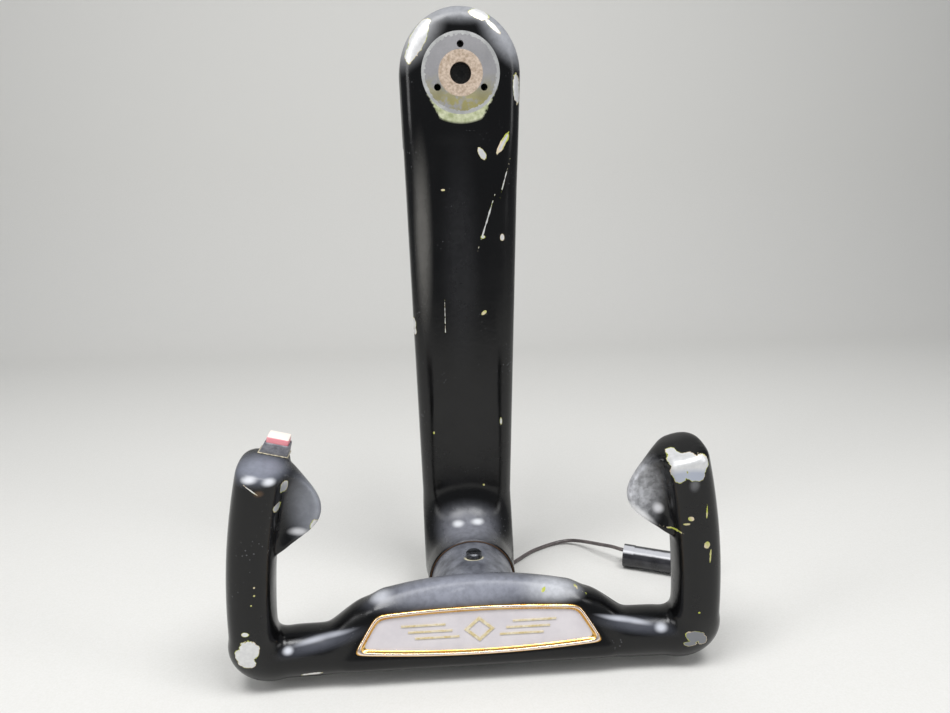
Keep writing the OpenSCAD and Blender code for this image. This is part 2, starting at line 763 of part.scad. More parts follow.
// Smooth route through the chosen points, with a few steps between each pair
function spline(a, b, c, d, t) =
    0.5 * (2 * b + (c - a) * t + (2 * a - 5 * b + 4 * c - d) * t * t
           + (3 * b - a - 3 * c + d) * t * t * t);
function smooth_route(r, steps) = concat(
    [for (i = [0:len(r) - 2]) for (s = [0:steps - 1])
        spline(r[max(i - 1, 0)], r[i], r[i + 1], r[min(i + 2, len(r) - 1)], s / steps)],
    [r[len(r) - 1]]);
// Keeps the side vector turning slowly, so that the rings don't twist along the route
function sides_along(r, i = 0, last = undef, out = []) =
    i == len(r) ? out :
    let (d = aim(r, i),
         guess = last == undef ? (abs(d[2]) > 0.9 ? [1, 0, 0] : [0, 0, 1]) : last,
         side = unit(guess - d * (guess * d)))
    sides_along(r, i + 1, side, concat(out, [side]));
module tube(route, radius) {
    sides = sides_along(route);
    loft([for (i = [0:len(route) - 1])
        let (d = aim(route, i), s = sides[i], o = cross(d, s))
        [for (k = [0:tube_n - 1]) let (a = 360 * k / tube_n)
            route[i] + radius * (cos(a) * s + sin(a) * o)]]);
}

// Lead inside the wheel, from the switch to the rear end of the hollow shaft
lead_route = [[-117.4, -117, -230.5], [-118.4, -118.4, -240], [-122.1, -122.3, -270],
              [-125.8, -126.1, -300], [-128.8, -129.2, -324], [-129.6, -130.4, -331.5],
              [-128.2, -131, -335], [-124, -131, -336.2], [-116, -131, -336.3],
              [-90, -131, -336.3], [-50, -131, -336.3], [-12, -131, -336.3], [-4, -131, -336],
              [-0.6, -131, -332.5], [0, -130.8, -328.5], [0, -129.6, -325.8], [0, -126, -325],
              [0, -115, -325], [0, -60, -325], [0, -17, -325]];
module ptt_lead() {
    color([0.05, 0.05, 0.05]) tube(smooth_route(lead_route, 3), cable_d / 2);
}

module cable_grommet() {
    color([0.03, 0.03, 0.03])
    difference() {
        union() {
            rod_y(grommet_hole_r, shaft_rear_y + 0.3, rear_y, wheel_z);
            rotate_grommet();
        }
        rod_y(cable_d / 2, shaft_rear_y, 0, wheel_z, 0, 24);
    }
}

grommet_len = 6;
module rotate_grommet() {
    translate([0, rear_y, wheel_z]) rotate([-90, 0, 0])
        rotate_extrude($fn = 48)
            polygon([[0, 0], [7, 0], [7, 1.4], [3.6, 2], [2.6, grommet_len], [0, grommet_len]]);
}

// Free cable: leaves the grommet, drops and lies in a loose curve up to the connector,
// which it enters above the middle of the rear face
plug_from = [121.9, -15.2, -347.5];
plug_turn = -25;
plug_entry = 4;
cable_route = [[0, -6, -325], [0, -1, -326], [1, 3, -329], [4, 6, -335], [8, 7, -342],
               [13, 4, -349], [19, -2, -353.4], [26, -8, -354.6], [34, -8, -354.6],
               [41, -2, -354.6], [48, 5, -354.6], [55, 11, -354.6], [63, 16, -354.6],
               [71, 20, -354.5], [79, 22, -353.8], [87, 21, -352.5], [94, 17, -351.2],
               [101, 9, -348.8], [107, 1, -346.5], [114, -7, -344.4], [119, -13.2, -343.5],
               plug_from + [0, 0, plug_entry]];
module cable() {
    color([0.05, 0.05, 0.05]) tube(smooth_route(cable_route, 3), cable_d / 2);
}

// In-line connector that lies at the end of the cable
plug_r = plug_d / 2;
module on_plug() {
    translate(plug_from) rotate([0, 0, plug_turn + 90]) rotate([90, 0, 0]) children();
}

module plug_rear_cap() {
    color([0.06, 0.06, 0.06])
    on_plug() difference() {
        union() {
            cylinder(r = plug_r, h = 8, $fn = 64);
            translate([0, 0, 7]) cylinder(r = plug_r - 2, h = 6, $fn = 64);
        }
        translate([0, 0, 3]) cylinder(r = plug_r - 4, h = 20, $fn = 64);
    }
}

plug_len = 60;
module plug_barrel() {
    color([0.05, 0.05, 0.05])
    on_plug() difference() {
        translate([0, 0, 8]) cylinder(r = plug_r - 0.3, h = plug_len - 8, $fn = 64);
        translate([0, 0, 7]) cylinder(r = plug_r - 2, h = plug_len, $fn = 64);
    }
}

insert_from = 30;
insert_to = plug_len - 0.8;
contact_ring_r = 3.4;
contact_r = 1.5;
module at_contacts(z) {
    for (a = [90, 210, 330]) rotate([0, 0, a]) translate([contact_ring_r, 0, z]) children();
}

module plug_insert() {
    color([0.35, 0.22, 0.12])
    on_plug() difference() {
        translate([0, 0, insert_from]) cylinder(r = plug_r - 2, h = insert_to - insert_from, $fn = 64);
        at_contacts(0) cylinder(r = contact_r, h = plug_len, $fn = 24);
    }
}

module plug_contacts() {
    color([0.80, 0.65, 0.30])
    on_plug() difference() {
        at_contacts(insert_from - 4) cylinder(r = contact_r, h = insert_to - insert_from + 4, $fn = 24);
        at_contacts(insert_from + 6) cylinder(r = 0.8, h = plug_len, $fn = 24);
    }
}

arm_casting();
back_cover();
cover_screws();
hub_plate();
hub_front_bush();
hub_rear_bush();
column_bush();
hub_sprocket();
control_chain();
shaft_front_bush();
shaft_rear_bush();
wheel_shaft();
wheel_sprocket();
sprocket_key();
sprocket_washer();
sprocket_nut();
wheel_collar();
collar_screw();
wheel_pin();
wheel_casting();
badge_bezel();
badge_plate();
badge_ornament();
ptt_housing();
ptt_button();
ptt_spring();
ptt_switch();
ptt_terminals();
ptt_lead();
cable_grommet();
cable();
plug_rear_cap();
plug_barrel();
plug_insert();
plug_contacts();
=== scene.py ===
import math

import bmesh
import bpy
import numpy as np
from mathutils import Matrix, Vector


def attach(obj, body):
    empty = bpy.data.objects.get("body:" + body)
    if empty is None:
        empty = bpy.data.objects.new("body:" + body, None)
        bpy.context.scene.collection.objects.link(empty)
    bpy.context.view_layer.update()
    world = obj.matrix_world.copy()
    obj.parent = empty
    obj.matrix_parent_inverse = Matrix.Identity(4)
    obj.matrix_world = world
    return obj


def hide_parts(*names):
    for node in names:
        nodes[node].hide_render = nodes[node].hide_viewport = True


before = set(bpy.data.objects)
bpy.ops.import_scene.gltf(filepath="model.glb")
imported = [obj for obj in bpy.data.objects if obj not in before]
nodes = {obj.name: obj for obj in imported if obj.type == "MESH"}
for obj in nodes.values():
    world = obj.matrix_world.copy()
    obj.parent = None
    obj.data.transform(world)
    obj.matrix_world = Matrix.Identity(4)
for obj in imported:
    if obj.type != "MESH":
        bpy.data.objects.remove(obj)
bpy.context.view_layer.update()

mm = 0.001


def moved(*place):
    return Matrix.Translation(Vector(place) * mm)


def turned(degrees, axis):
    return Matrix.Rotation(math.radians(degrees), 4, axis)


def addObject(name, data):
    obj = bpy.data.objects.new(name, data)
    bpy.context.scene.collection.objects.link(obj)
    return obj


# The camera, where the photograph was taken from
view = {
    "lens": 27.02,
    "sensor": 36,
    "place": (-26.85, -508.72, -69.92),  # mm
    "right": (0.99715, -0.0742, -0.01383),
    "forward": (0.0691, 0.97109, -0.2285),
    "nearest": 0.02,  # m
}


def placeCamera(v):
    forward = Vector(v["forward"]).normalized()
    up = Vector(v["right"]).cross(forward).normalized()
    right = forward.cross(up)
    lens = bpy.data.cameras.new("camera")
    lens.lens = v["lens"]
    lens.sensor_width = v["sensor"]
    lens.clip_start = v["nearest"]
    cam = addObject("camera", lens)
    cam.matrix_world = moved(*v["place"]) @ Matrix((right, up, -forward)).transposed().to_4x4()
    bpy.context.scene.camera = cam


placeCamera(view)
print("camera placed")


# Helpers for meshes
def smoothStep(t):
    t = np.clip(t, 0, 1)
    return t * t * (3 - 2 * t)


def mix(a, b, t):
    return a + (b - a) * t


def meshObject(name, points, faces):
    mesh = bpy.data.meshes.new(name)
    mesh.from_pydata([tuple(p) for p in points], [], [tuple(f) for f in faces])
    mesh.update()
    mesh.shade_smooth()
    return addObject(name, mesh)


def loftFaces(rings, count):
    faces = []
    for start in range(0, (rings - 1) * count, count):
        for i in range(count):
            ahead = start + (i + 1) % count
            faces.append((start + i, ahead, ahead + count, start + i + count))
    return faces


def endFaces(rings, count):
    last = (rings - 1) * count
    return [tuple(reversed(range(count))), tuple(last + i for i in range(count))]


def sharpen(obj, degrees):
    obj.data.set_sharp_from_angle(angle=math.radians(degrees))


def bakeModifiers(obj):
    bpy.context.view_layer.update()
    baked = bpy.data.meshes.new_from_object(obj.evaluated_get(bpy.context.evaluated_depsgraph_get()))
    obj.modifiers.clear()
    obj.data = baked


def cutAway(obj, *cutters):
    for cutter in cutters:
        modifier = obj.modifiers.new("cut", "BOOLEAN")
        modifier.object = cutter
        modifier.operation = "DIFFERENCE"
        modifier.solver = "MANIFOLD"
    bakeModifiers(obj)
    for cutter in cutters:
        bpy.data.objects.remove(cutter)


def soften(obj, rounds, group=""):
    smooth = obj.modifiers.new("soft", "SMOOTH")
    smooth.factor = 0.5
    smooth.iterations = rounds
    smooth.vertex_group = group
    bakeModifiers(obj)


def rod(r, low, high, axis="y", at=(0, 0, 0), steps=128):
    # a round bar from low to high along its axis, in mm
    points = []
    for radius, h in ((1e-4, low), (r, low), (r, high), (1e-4, high)):
        for i in range(steps):
            a = 2 * math.pi * i / steps
            u, v = radius * math.cos(a), radius * math.sin(a)
            place = Vector((v, h, u) if axis == "y" else (u, v, h)) + Vector(at)
            points.append(place * mm)
    return meshObject("cutter", points, loftFaces(4, steps) + endFaces(4, steps))


def standUp(outline, low, high, place):
    # an outline in mm carried along the height above a placed plane
    points = [(x * mm, y * mm, h * mm) for h in (low, high) for x, y in outline]
    obj = meshObject("cutter", points, loftFaces(2, len(outline)) + endFaces(2, len(outline)))
    obj.data.transform(place)
    return obj


def roundedBlock(name, low, high, radius, steps=3):
    work = bmesh.new()
    bmesh.ops.create_cube(work, size=1)
    for v in work.verts:
        v.co = Vector(((low[k] + high[k]) / 2 + v.co[k] * (high[k] - low[k]) for k in range(3))) * mm
    bmesh.ops.bevel(work, geom=work.edges[:], offset=radius * mm, segments=steps, profile=0.5, affect="EDGES")
    mesh = bpy.data.meshes.new(name)
    work.to_mesh(mesh)
    work.free()
    mesh.shade_smooth()
    return addObject(name, mesh)


def fitPiece(obj, body, material, slot, *replaced):
    obj.data.materials.clear()
    obj.data.materials.append(material)
    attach(obj, body)
    if replaced:
        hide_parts(*replaced)


# Cable, along the same route as its CAD solid, and the connector at its end; in mm
cable = {
    "diameter": 2.8,
    "route": [(0, -6, -325), (0, -1, -326), (1, 3, -329), (4, 6, -335), (8, 7, -342),
              (13, 4, -349), (19, -2, -353.4), (26, -8, -354.6), (34, -8, -354.6),
              (41, -2, -354.6), (48, 5, -354.6), (55, 11, -354.6), (63, 16, -354.6),
              (71, 20, -354.5), (79, 22, -353.8), (87, 21, -352.5), (94, 17, -351.2),
              (101, 9, -348.8), (107, 1, -346.5), (114, -7, -344.4), (119, -13.2, -343.5),
              (121.9, -15.2, -343.5)],
    "stepsBetween": 6,
    "roundness": 4,
}
# the last angle turns to the face of the plug's painted highlight
plug = {"from": (121.9, -15.2, -347.5), "turn": -25, "highlightAt": 28.7}  # a point on its axis, then degrees


def smoothRoute(route, steps):
    # the same spline as the CAD tube's
    points = [Vector(p) for p in route]
    out = []
    for i in range(len(points) - 1):
        a, b = points[max(i - 1, 0)], points[i]
        c, d = points[i + 1], points[min(i + 2, len(points) - 1)]
        for s in range(steps):
            t = s / steps
            out.append(0.5 * (2 * b + (c - a) * t + (2 * a - 5 * b + 4 * c - d) * t * t
                              + (3 * b - a - 3 * c + d) * t ** 3))
    return out + [points[-1]]


def makeCable(c):
    line = smoothRoute(c["route"], c["stepsBetween"])
    curve = bpy.data.curves.new("cable_cord", "CURVE")
    curve.dimensions = "3D"
    curve.bevel_depth = c["diameter"] / 2 * mm
    curve.bevel_resolution = c["roundness"]
    spline = curve.splines.new("POLY")
    spline.points.add(len(line) - 1)
    for point, place in zip(spline.points, line):
        point.co = (*(place * mm), 1)
    spline.use_smooth = True
    return addObject("cable_cord", curve), sum((b - a).length for a, b in zip(line, line[1:]))


def plugFrame(c):
    return moved(*c["from"]) @ turned(c["turn"], "Z") @ turned(c["highlightAt"], "X")


# Arm casting: a field of distances, walked over by a close mesh; all in mm
arm = {
    "length": 325, "topR": 38.5, "topH": 40.5, "bottomR": 31, "wall": 5,
    "front": -42, "rear": -12, "coverSeat": -14.5, "coverTop": -44, "plate": 10,
    "shoulder": 11, "sideRound": 15, "roundFrom": -26, "roundRun": 50, "outerEdge": 1.5, "edge": 1,
    "rim": -78, "rimR": 29, "sweep": 24, "rearBossR": 26, "rearBossDepth": 20, "rearBossFoot": 3,
    "landTop": 12.5, "landBottom": 20, "landRise": 1.2, "landSlope": 9,
    "landFrom": -34, "landRun": 258, "landStart": 12, "landEnd": -265, "landFade": 110,
    "chainSpace": (20, 37), "coverRecess": (14, 20.5),  # how far in front of the hub's back
    "hubBores": ((24.25, -45, -38), (22, -39, -33), (15, -21, -11), (20.5, -13, 2)),  # radius, from, to
    "wheelBores": ((14, -80, -36), (27.8, -80, -74)),
    "box": ((-42, -80.5, -358.5), (42, 2.5, 43.5)), "mesh": 0.9, "rimSteps": 48,
}


def roundMax(a, b, r):
    return np.minimum(np.maximum(a, b), -r) + np.hypot(np.maximum(a + r, 0), np.maximum(b + r, 0))


def roundMin(a, b, r):
    return np.maximum(np.minimum(a, b), r) - np.hypot(np.maximum(r - a, 0), np.maximum(r - b, 0))


def armOutline(x, z, c):
    # two circles and their tangents, the top one drawn up to its height
    slope = (c["topR"] - c["bottomR"]) / c["length"]
    run = math.sqrt(1 - slope * slope)
    across, down = np.abs(x), np.where(z > 0, -z * c["topR"] / c["topH"], -z)
    along = -slope * across + run * down
    side = run * across + slope * down - c["topR"]
    top = np.hypot(across, down) - c["topR"]
    bottom = np.hypot(across, down - c["length"]) - c["bottomR"]
    return np.where(along < 0, top, np.where(along > run * c["length"], bottom, side))


def armField(x, y, z):
    c = arm
    outline = armOutline(x, z, c)
    # the raised land down the middle of the front
    down = np.clip((c["landFrom"] - z) / c["landRun"], 0, 1)
    land = mix(c["landTop"], c["landBottom"], down) - np.abs(x)
    ends = smoothStep((c["landFrom"] - z) / c["landStart"]) * smoothStep((z - c["landEnd"]) / c["landFade"])
    rise = c["landRise"] * smoothStep(1 + land / c["landSlope"]) * ends
    shoulder = mix(c["shoulder"], c["sideRound"], smoothStep((c["roundFrom"] - z) / c["roundRun"]))
    body = roundMax(outline, c["front"] - rise - y, shoulder)
    # the boss round the wheel shaft, swept into the arm
    forward = np.clip((c["front"] - y) / (c["front"] - c["rim"]), 0, 1)
    boss = np.hypot(x, z + c["length"]) - mix(c["bottomR"], c["rimR"], forward)
    joined = roundMin(body, boss, c["sweep"])
    joined = roundMax(joined, outline, c["outerEdge"])
    joined = roundMax(joined, c["rim"] - y, c["edge"])
    joined = np.maximum(joined, y - c["coverSeat"])
    # the closed back of the hub end and its boss for the column
    half = c["plate"] / 2
    plate = np.maximum(np.maximum(outline, np.abs(y - c["rear"] + half) - half), c["coverTop"] - z)
    half = c["rearBossDepth"] / 2
    rearBoss = roundMax(np.hypot(x, z) - c["rearBossR"], np.abs(y + half) - half, c["edge"])
    return np.minimum(np.minimum(joined, plate), roundMin(rearBoss, plate, c["rearBossFoot"]))


def cellPoints(value, low, step):
    # a point in each small cell that the surface crosses: the mean of where it crosses the cell's edges
    inside = value < 0
    shape = tuple(n - 1 for n in value.shape)
    total = np.zeros(shape + (3,), np.float32)
    hits = np.zeros(shape, np.float32)
    for axis in range(3):
        others = [k for k in range(3) if k != axis]
        for p, q in ((0, 0), (0, 1), (1, 0), (1, 1)):
            start = [0, 0, 0]
            start[others[0]], start[others[1]] = p, q
            a = tuple(slice(s, s + n) for s, n in zip(start, shape))
            start[axis] = 1
            b = tuple(slice(s, s + n) for s, n in zip(start, shape))
            crossed = inside[a] != inside[b]
            hits += crossed
            total[..., axis] += np.where(crossed, value[a] / np.where(crossed, value[a] - value[b], 1), 0)
            total[..., others[0]] += crossed * p
            total[..., others[1]] += crossed * q
    used = hits > 0
    index = np.full(shape, -1, np.int64)
    index[used] = np.arange(used.sum())
    place = np.argwhere(used) * step + total[used] / hits[used][:, None] * step
    return index, place + np.array(low, np.float32)


def cellFaces(inside, index):
    # the four cells round each edge that the surface crosses
    faces = []
    for axis in range(3):
        u, v = [k for k in range(3) if k != axis]
        count = inside.shape
        here = [slice(0, count[k] - 1) if k == axis else slice(1, count[k] - 1) for k in range(3)]
        one = inside[tuple(here)]
        here[axis] = slice(1, count[axis])
        two = inside[tuple(here)]
        for flip, where in ((False, one & ~two), (True, ~one & two)):
            corners = []
            for du, dv in ((0, 0), (1, 0), (1, 1), (0, 1)):
                cell = np.argwhere(where)
                cell[:, u] += du
                cell[:, v] += dv
                corners.append(index[tuple(cell.T)])
            face = np.stack(corners, 1)
            faces.append(face[:, ::-1] if flip != (axis == 1) else face)
    return np.concatenate(faces)


def settle(points, field, step, probe=0.05, rounds=2):
    # move the points onto the surface itself, along the field's slope
    for _ in range(rounds):
        p = points.astype(np.float64)
        away = field(*p.T)
        slope = np.stack([field(*(p + e).T) - field(*(p - e).T) for e in np.eye(3) * probe], 1) / (2 * probe)
        size = np.maximum((slope ** 2).sum(1, keepdims=True), 0.25)
        points = p - np.clip(away[:, None] / size, -step / 2, step / 2) * slope
    return points


def fieldMesh(name, field, low, high, step):
    axes = [np.arange(a, b + step, step, dtype=np.float32) for a, b in zip(low, high)]
    value = field(*np.meshgrid(*axes, indexing="ij")).astype(np.float32)
    index, points = cellPoints(value, low, step)
    return meshObject(name, settle(points, field, step) * mm, cellFaces(value < 0, index))


def armRim(c, inset, zTop=None):
    # the outline drawn in by an inset; with zTop only what lies below it
    taper = math.asin((c["topR"] - c["bottomR"]) / c["length"])
    steps = c["rimSteps"]
    points = []
    for i in range(steps + 1):
        a = mix(-taper, math.pi + taper, i / steps)
        r = c["topR"] - inset
        stretch = c["topH"] / c["topR"] if 0 < a < math.pi else 1
        points.append((r * math.cos(a), r * math.sin(a) * stretch))
    for i in range(steps + 1):
        a = mix(math.pi + taper, 2 * math.pi - taper, i / steps)
        r = c["bottomR"] - inset
        points.append((r * math.cos(a), r * math.sin(a) - c["length"]))
    if zTop is None:
        return points
    half = (c["topR"] - inset / math.cos(taper)) / math.cos(taper) + zTop * math.tan(taper)
    return [(half, zTop), (-half, zTop)] + [p for p in points if p[1] < zTop]


def makeArm(c):
    obj = fieldMesh("arm_casting_skin", armField, *c["box"], c["mesh"])
    upright = turned(90, "X")
    cutAway(obj, standUp(armRim(c, c["wall"]), *c["chainSpace"], upright),
            standUp(armRim(c, c["wall"], c["coverTop"]), *c["coverRecess"], upright),
            *[rod(*bore) for bore in c["hubBores"]],
            *[rod(*bore, at=(0, 0, -c["length"])) for bore in c["wheelBores"]])
    sharpen(obj, 42)
    return obj


# Badge: an outline in its own plane, leaned back; heights in mm above the plane
badge = {
    "topHalf": 60.6, "footHalf": 74.3, "endH": 22.2, "bowTop": 2.4, "bowFoot": 3.2,
    "seatInset": 2, "seatSpan": (-1.8, 8), "lean": 19, "y": -136.2, "z": 2.2, "steps": 24,
    "profile": ((0, 0), (0, 0.9), (0.12, 1.35), (0.4, 1.7), (0.8, 1.9), (1.2, 2), (1.6, 1.9), (1.9, 1.6),
                (2.3, 0.9), (2.8, 0.45), (3, 0.3), (3, 0.02)),  # inset and height of the bezel
    "evenPoints": 360, "roundingPasses": 26,
    "proudClear": 2.5, "proudFade": 8, "sunkClear": 0.5, "sunkFade": 6, "sunkFrom": -6, "sunkRun": 4,
    "softFrom": 1, "softRun": 4, "softTo": 14, "softFade": 8, "softBack": -14, "softBackRun": 6,
}


def badgeOutline(b, inset):
    # counted round from the left end of the bottom edge
    half = b["endH"] / 2 - inset
    slope = (b["footHalf"] - b["topHalf"]) / b["endH"]
    side = inset * math.sqrt(1 + slope * slope) - inset * slope
    top, foot = b["topHalf"] - side, b["footHalf"] - side - 2 * inset * slope
    spread = [-1 + 2 * k / b["steps"] for k in range(b["steps"] + 1)]
    return ([(foot * t, -half - b["bowFoot"] * (1 - t * t)) for t in spread]
            + [(-top * t, half + b["bowTop"] * (1 - t * t)) for t in spread])


def outsideBadge(b, x, y):
    # about how far a point of the badge's plane lies outside the badge
    slope = (b["footHalf"] - b["topHalf"]) / b["endH"]
    side = (np.abs(x) + y * slope - (b["footHalf"] + b["topHalf"]) / 2) / math.sqrt(1 + slope * slope)
    up = y - b["endH"] / 2 - b["bowTop"] * (1 - (x / b["topHalf"]) ** 2)
    down = -y - b["endH"] / 2 - b["bowFoot"] * (1 - (x / b["footHalf"]) ** 2)
    return np.maximum(side, np.maximum(up, down))


def roundedOutline(b, inset):
    # evenly spread points along the outline, then corners rounded by repeated averaging
    points = badgeOutline(b, inset)
    ring = np.array(points + points[:1])
    along = np.concatenate([[0], np.cumsum(np.hypot(*np.diff(ring, axis=0).T))])
    places = np.linspace(0, along[-1], b["evenPoints"], endpoint=False)
    out = np.stack([np.interp(places, along, ring[:, k]) for k in (0, 1)], 1)
    for _ in range(b["roundingPasses"]):
        out = (np.roll(out, 1, 0) + 2 * out + np.roll(out, -1, 0)) / 4
    return out


def badgeFrame(c, b):
    return moved(0, b["y"], c["axis"] + b["z"]) @ turned(90 - b["lean"], "X")


def makeBezel(c, b):
    # a raised frame with a rounded outer edge and a bevel that falls to the plate
    points = [(x * mm, y * mm, h * mm) for inset, h in b["profile"] for x, y in roundedOutline(b, inset)]
    rings, count = len(b["profile"]), b["evenPoints"]
    last = (rings - 1) * count
    back = [(last + i, last + (i + 1) % count, (i + 1) % count, i) for i in range(count)]
    obj = meshObject("badge_frame", points, loftFaces(rings, count) + back)
    obj.data.transform(badgeFrame(c, b))
    sharpen(obj, 50)
    return obj


# Wheel casting: round sections lofted down one horn, along the bar and up the other; z from its axis
wheel = {
    "axis": -325, "hornX": 131.35, "hornY": -132, "hornHalfW": 13.4, "hornHalfD": 15, "hornTop": 109.5,
    "hornZ": 6.7, "lean": 13, "hornSquare": 2.7, "topRound": 4, "topSlope": 0.18, "crest": 10,
    "crestSoft": 0.5, "swell": 7, "swellFrom": 45,
    "thumbOut": 22.5, "thumbLow": 56, "thumbHigh": 111, "thumbEnd": 0.8, "thumbSpread": 34, "thumbDraw": 0.22,
    "rimY": -4, "bowl": 8, "bowlN": 24, "bowlZ": 85, "bowlHalfN": 13, "bowlHalfZ": 26, "bowlPower": 0.8,
    "wallAngle": 35, "lip": 0.8,
    "barY": -127, "barZ": -11.3, "barR": 14.6, "barSquare": 2.2, "cornerR": 18, "cornerOut": 5,
    "caseY": -121, "caseUp": 21, "caseCrown": 6.6, "caseDown": 23.5, "caseFront": 17.5, "caseRear": 12,
    "caseTopFrom": 78, "caseTopTo": 62, "caseFootFrom": 92, "caseFootTo": 76, "caseSquare": 3.4,
    "caseBrow": 2.3, "rearDraw": 10,
    "closing": (0.02, 0.2, 0.4, 0.6, 0.78, 0.9), "around": 144,
    "topRings": 8, "hornRings": 60, "cornerRings": 18, "barRings": 13, "shoulderRings": 33, "caseRings": 41,
    "voxel": 0.9, "softening": 30, "sweepAt": (112, -140, 6), "sweepReach": 32, "sweepSoftening": 260,
    "seatSoftening": 70, "pin": (4.5, -365, -345), "pinY": -122, "collar": (27.3, -118, -82),
}


def bowlAt(c, n, z):
    # y of the thumb rest's bowl, from the horn's middle plane
    away = ((n - c["bowlN"]) / c["bowlHalfN"]) ** 2 + ((z - c["bowlZ"]) / c["bowlHalfZ"]) ** 2
    return c["rimY"] + c["bowl"] * np.maximum(0, 1 - away) ** c["bowlPower"]


def section(c, centre, angle, reach, square, lean=0, thumb=0, z=0.0, brow=None):
    # one closed ring of points; reach is inner, outer, front and rear
    # the thumb rest is a lobe on the inner side, with a bowl in front
    p = np.linspace(0, 2 * np.pi, c["around"], endpoint=False)
    near = np.degrees(np.where(p > np.pi, p - 2 * np.pi, p))
    wall = c["wallAngle"]
    hasThumb = thumb > 0.5
    front = (near < 0) & (near > -90) & hasThumb
    rise = -float(bowlAt(c, reach[0], z)) / reach[2]
    foot = math.degrees(math.asin(rise ** (square / 2))) if hasThumb else 0
    p = np.where(front & (near <= -wall), -np.radians(90 - (90 + near) * (90 - foot) / (90 - wall)), p)
    power = np.where((np.cos(p) > 0) & (np.sin(p) < 0), 2 / (brow or square), 2 / square)
    u = np.sign(np.cos(p)) * np.abs(np.cos(p)) ** power * np.where(np.cos(p) > 0, reach[0], reach[1])
    v = np.sign(np.sin(p)) * np.abs(np.sin(p)) ** power * np.where(np.sin(p) > 0, reach[3], reach[2])
    bump = thumb * np.exp(-(near / c["thumbSpread"]) ** 2) * (near >= 0)
    n = u + bump
    y = v + lean * u * np.maximum(0, -v) / reach[2] + bump * c["thumbDraw"]
    across = reach[0] + (thumb - c["lip"]) * (1 + near / wall)
    hollow = front & (near > -wall)
    n = np.where(hollow, across, n)
    y = np.where(hollow, bowlAt(c, across, z), y)
    if hasThumb:
        y[near == 0] = 1
    return np.stack([centre[0] + n * math.cos(angle), centre[1] + y, centre[2] + n * math.sin(angle)], 1)


def hornLeanAt(c, z):
    share = (z - c["hornZ"]) / (c["hornTop"] - c["hornZ"])
    return c["lean"] * share ** 2, math.atan(2 * c["lean"] * share / (c["hornTop"] - c["hornZ"]))


def hornSection(c, z, cut, thumb, shrink=1.0):
    shift, angle = hornLeanAt(c, z)
    swell = smoothStep((z - c["swellFrom"]) / (c["hornTop"] - c["swellFrom"]))
    centre = (c["hornX"] - shift, c["hornY"], z)
    side, depth = c["hornHalfW"] - cut, c["hornHalfD"] - cut
    ring = section(c, centre, math.pi + angle, [side, side, depth, depth + c["swell"] * swell],
                   c["hornSquare"], thumb=thumb, z=z)
    middle = ring.mean(0)
    ring = middle + (ring - middle) * shrink
    # the top slopes up to its crest and stays level behind it
    t, soft = ring[:, 1] - c["hornY"], c["crestSoft"]
    rise = -np.log(np.exp(-soft * t) + np.exp(-soft * c["crest"])) / soft
    ring[:, 2] += swell * c["topSlope"] * rise
    return ring


def thumbAt(c, z):
    share = (z - c["thumbLow"]) / (c["thumbHigh"] - c["thumbLow"])
    return c["thumbOut"] * max(0.0, math.sin(math.pi * share))


def hornRings(c):
    topThumb = thumbAt(c, c["hornTop"]) * c["thumbEnd"]
    rings = [hornSection(c, c["hornTop"], c["topRound"], topThumb, s) for s in c["closing"]]
    for k in range(c["topRings"] + 1):
        share = k / c["topRings"]
        t = math.pi / 2 * share
        z = c["hornTop"] - c["topRound"] * (1 - math.cos(t))
        rings.append(hornSection(c, z, c["topRound"] * (1 - math.sin(t)),
                                 thumbAt(c, z) * mix(c["thumbEnd"], 1, share)))
    for k in range(c["hornRings"]):
        z = mix(c["hornTop"] - c["topRound"], c["hornZ"], (k + 1) / c["hornRings"])
        rings.append(hornSection(c, z, 0, thumbAt(c, z)))
    return rings


def cornerRing(c, t):
    a = math.pi / 2 * t
    depth = mix(c["hornHalfD"], c["barR"], t)
    centre = (c["hornX"] - c["cornerR"] * (1 - math.cos(a)), mix(c["hornY"], c["barY"], t),
              c["hornZ"] - c["cornerR"] * math.sin(a))
    outer = mix(c["hornHalfW"], c["barR"], t) + c["cornerOut"] * math.sin(2 * a)
    return section(c, centre, math.pi - a, [c["hornHalfW"], outer, depth, depth],
                   mix(c["hornSquare"], c["barSquare"], t))


def barRing(c, x):
    # round bar outside, badge case inside; the case's top and foot grow out of the bar
    top = smoothStep((c["caseTopFrom"] - x) / (c["caseTopFrom"] - c["caseTopTo"]))
    foot = smoothStep((c["caseFootFrom"] - x) / (c["caseFootFrom"] - c["caseFootTo"]))
    crown = c["caseCrown"] * (1 - (min(x, c["caseTopTo"]) / c["caseTopTo"]) ** 2)
    reach = [mix(c["barR"], c["caseUp"] + crown, top), mix(c["barR"], c["caseDown"], foot),
             mix(c["barR"], c["caseFront"], foot), mix(c["barR"], c["caseRear"], foot)]
    ring = section(c, (x, mix(c["barY"], c["caseY"], foot), mix(c["barZ"], 0, foot)), math.pi / 2, reach,
                   mix(c["barSquare"], c["caseSquare"], foot), math.tan(math.radians(badge["lean"])) * foot,
                   brow=mix(c["barSquare"], c["caseBrow"], foot))
    draw = c["rearDraw"] * foot * min(x / c["caseTopTo"], 1)
    ring[:, 0] -= draw * (ring[:, 1] - c["caseY"] + c["caseFront"]) / (c["caseFront"] + c["caseRear"])
    return ring


def wheelRings(c):
    rings = hornRings(c) + [cornerRing(c, (k + 1) / c["cornerRings"]) for k in range(c["cornerRings"])]
    turns = [(c["hornX"] - c["cornerR"], c["barRings"]), (c["caseFootFrom"], c["shoulderRings"]),
             (c["caseTopTo"], c["caseRings"]), (0, 0)]
    for (start, count), (end, _) in zip(turns, turns[1:]):
        rings += [barRing(c, mix(start, end, (k + 1) / count)) for k in range(count)]
    left = [ring * np.array([-1, 1, 1]) for ring in rings[-2::-1]]
    return rings + left


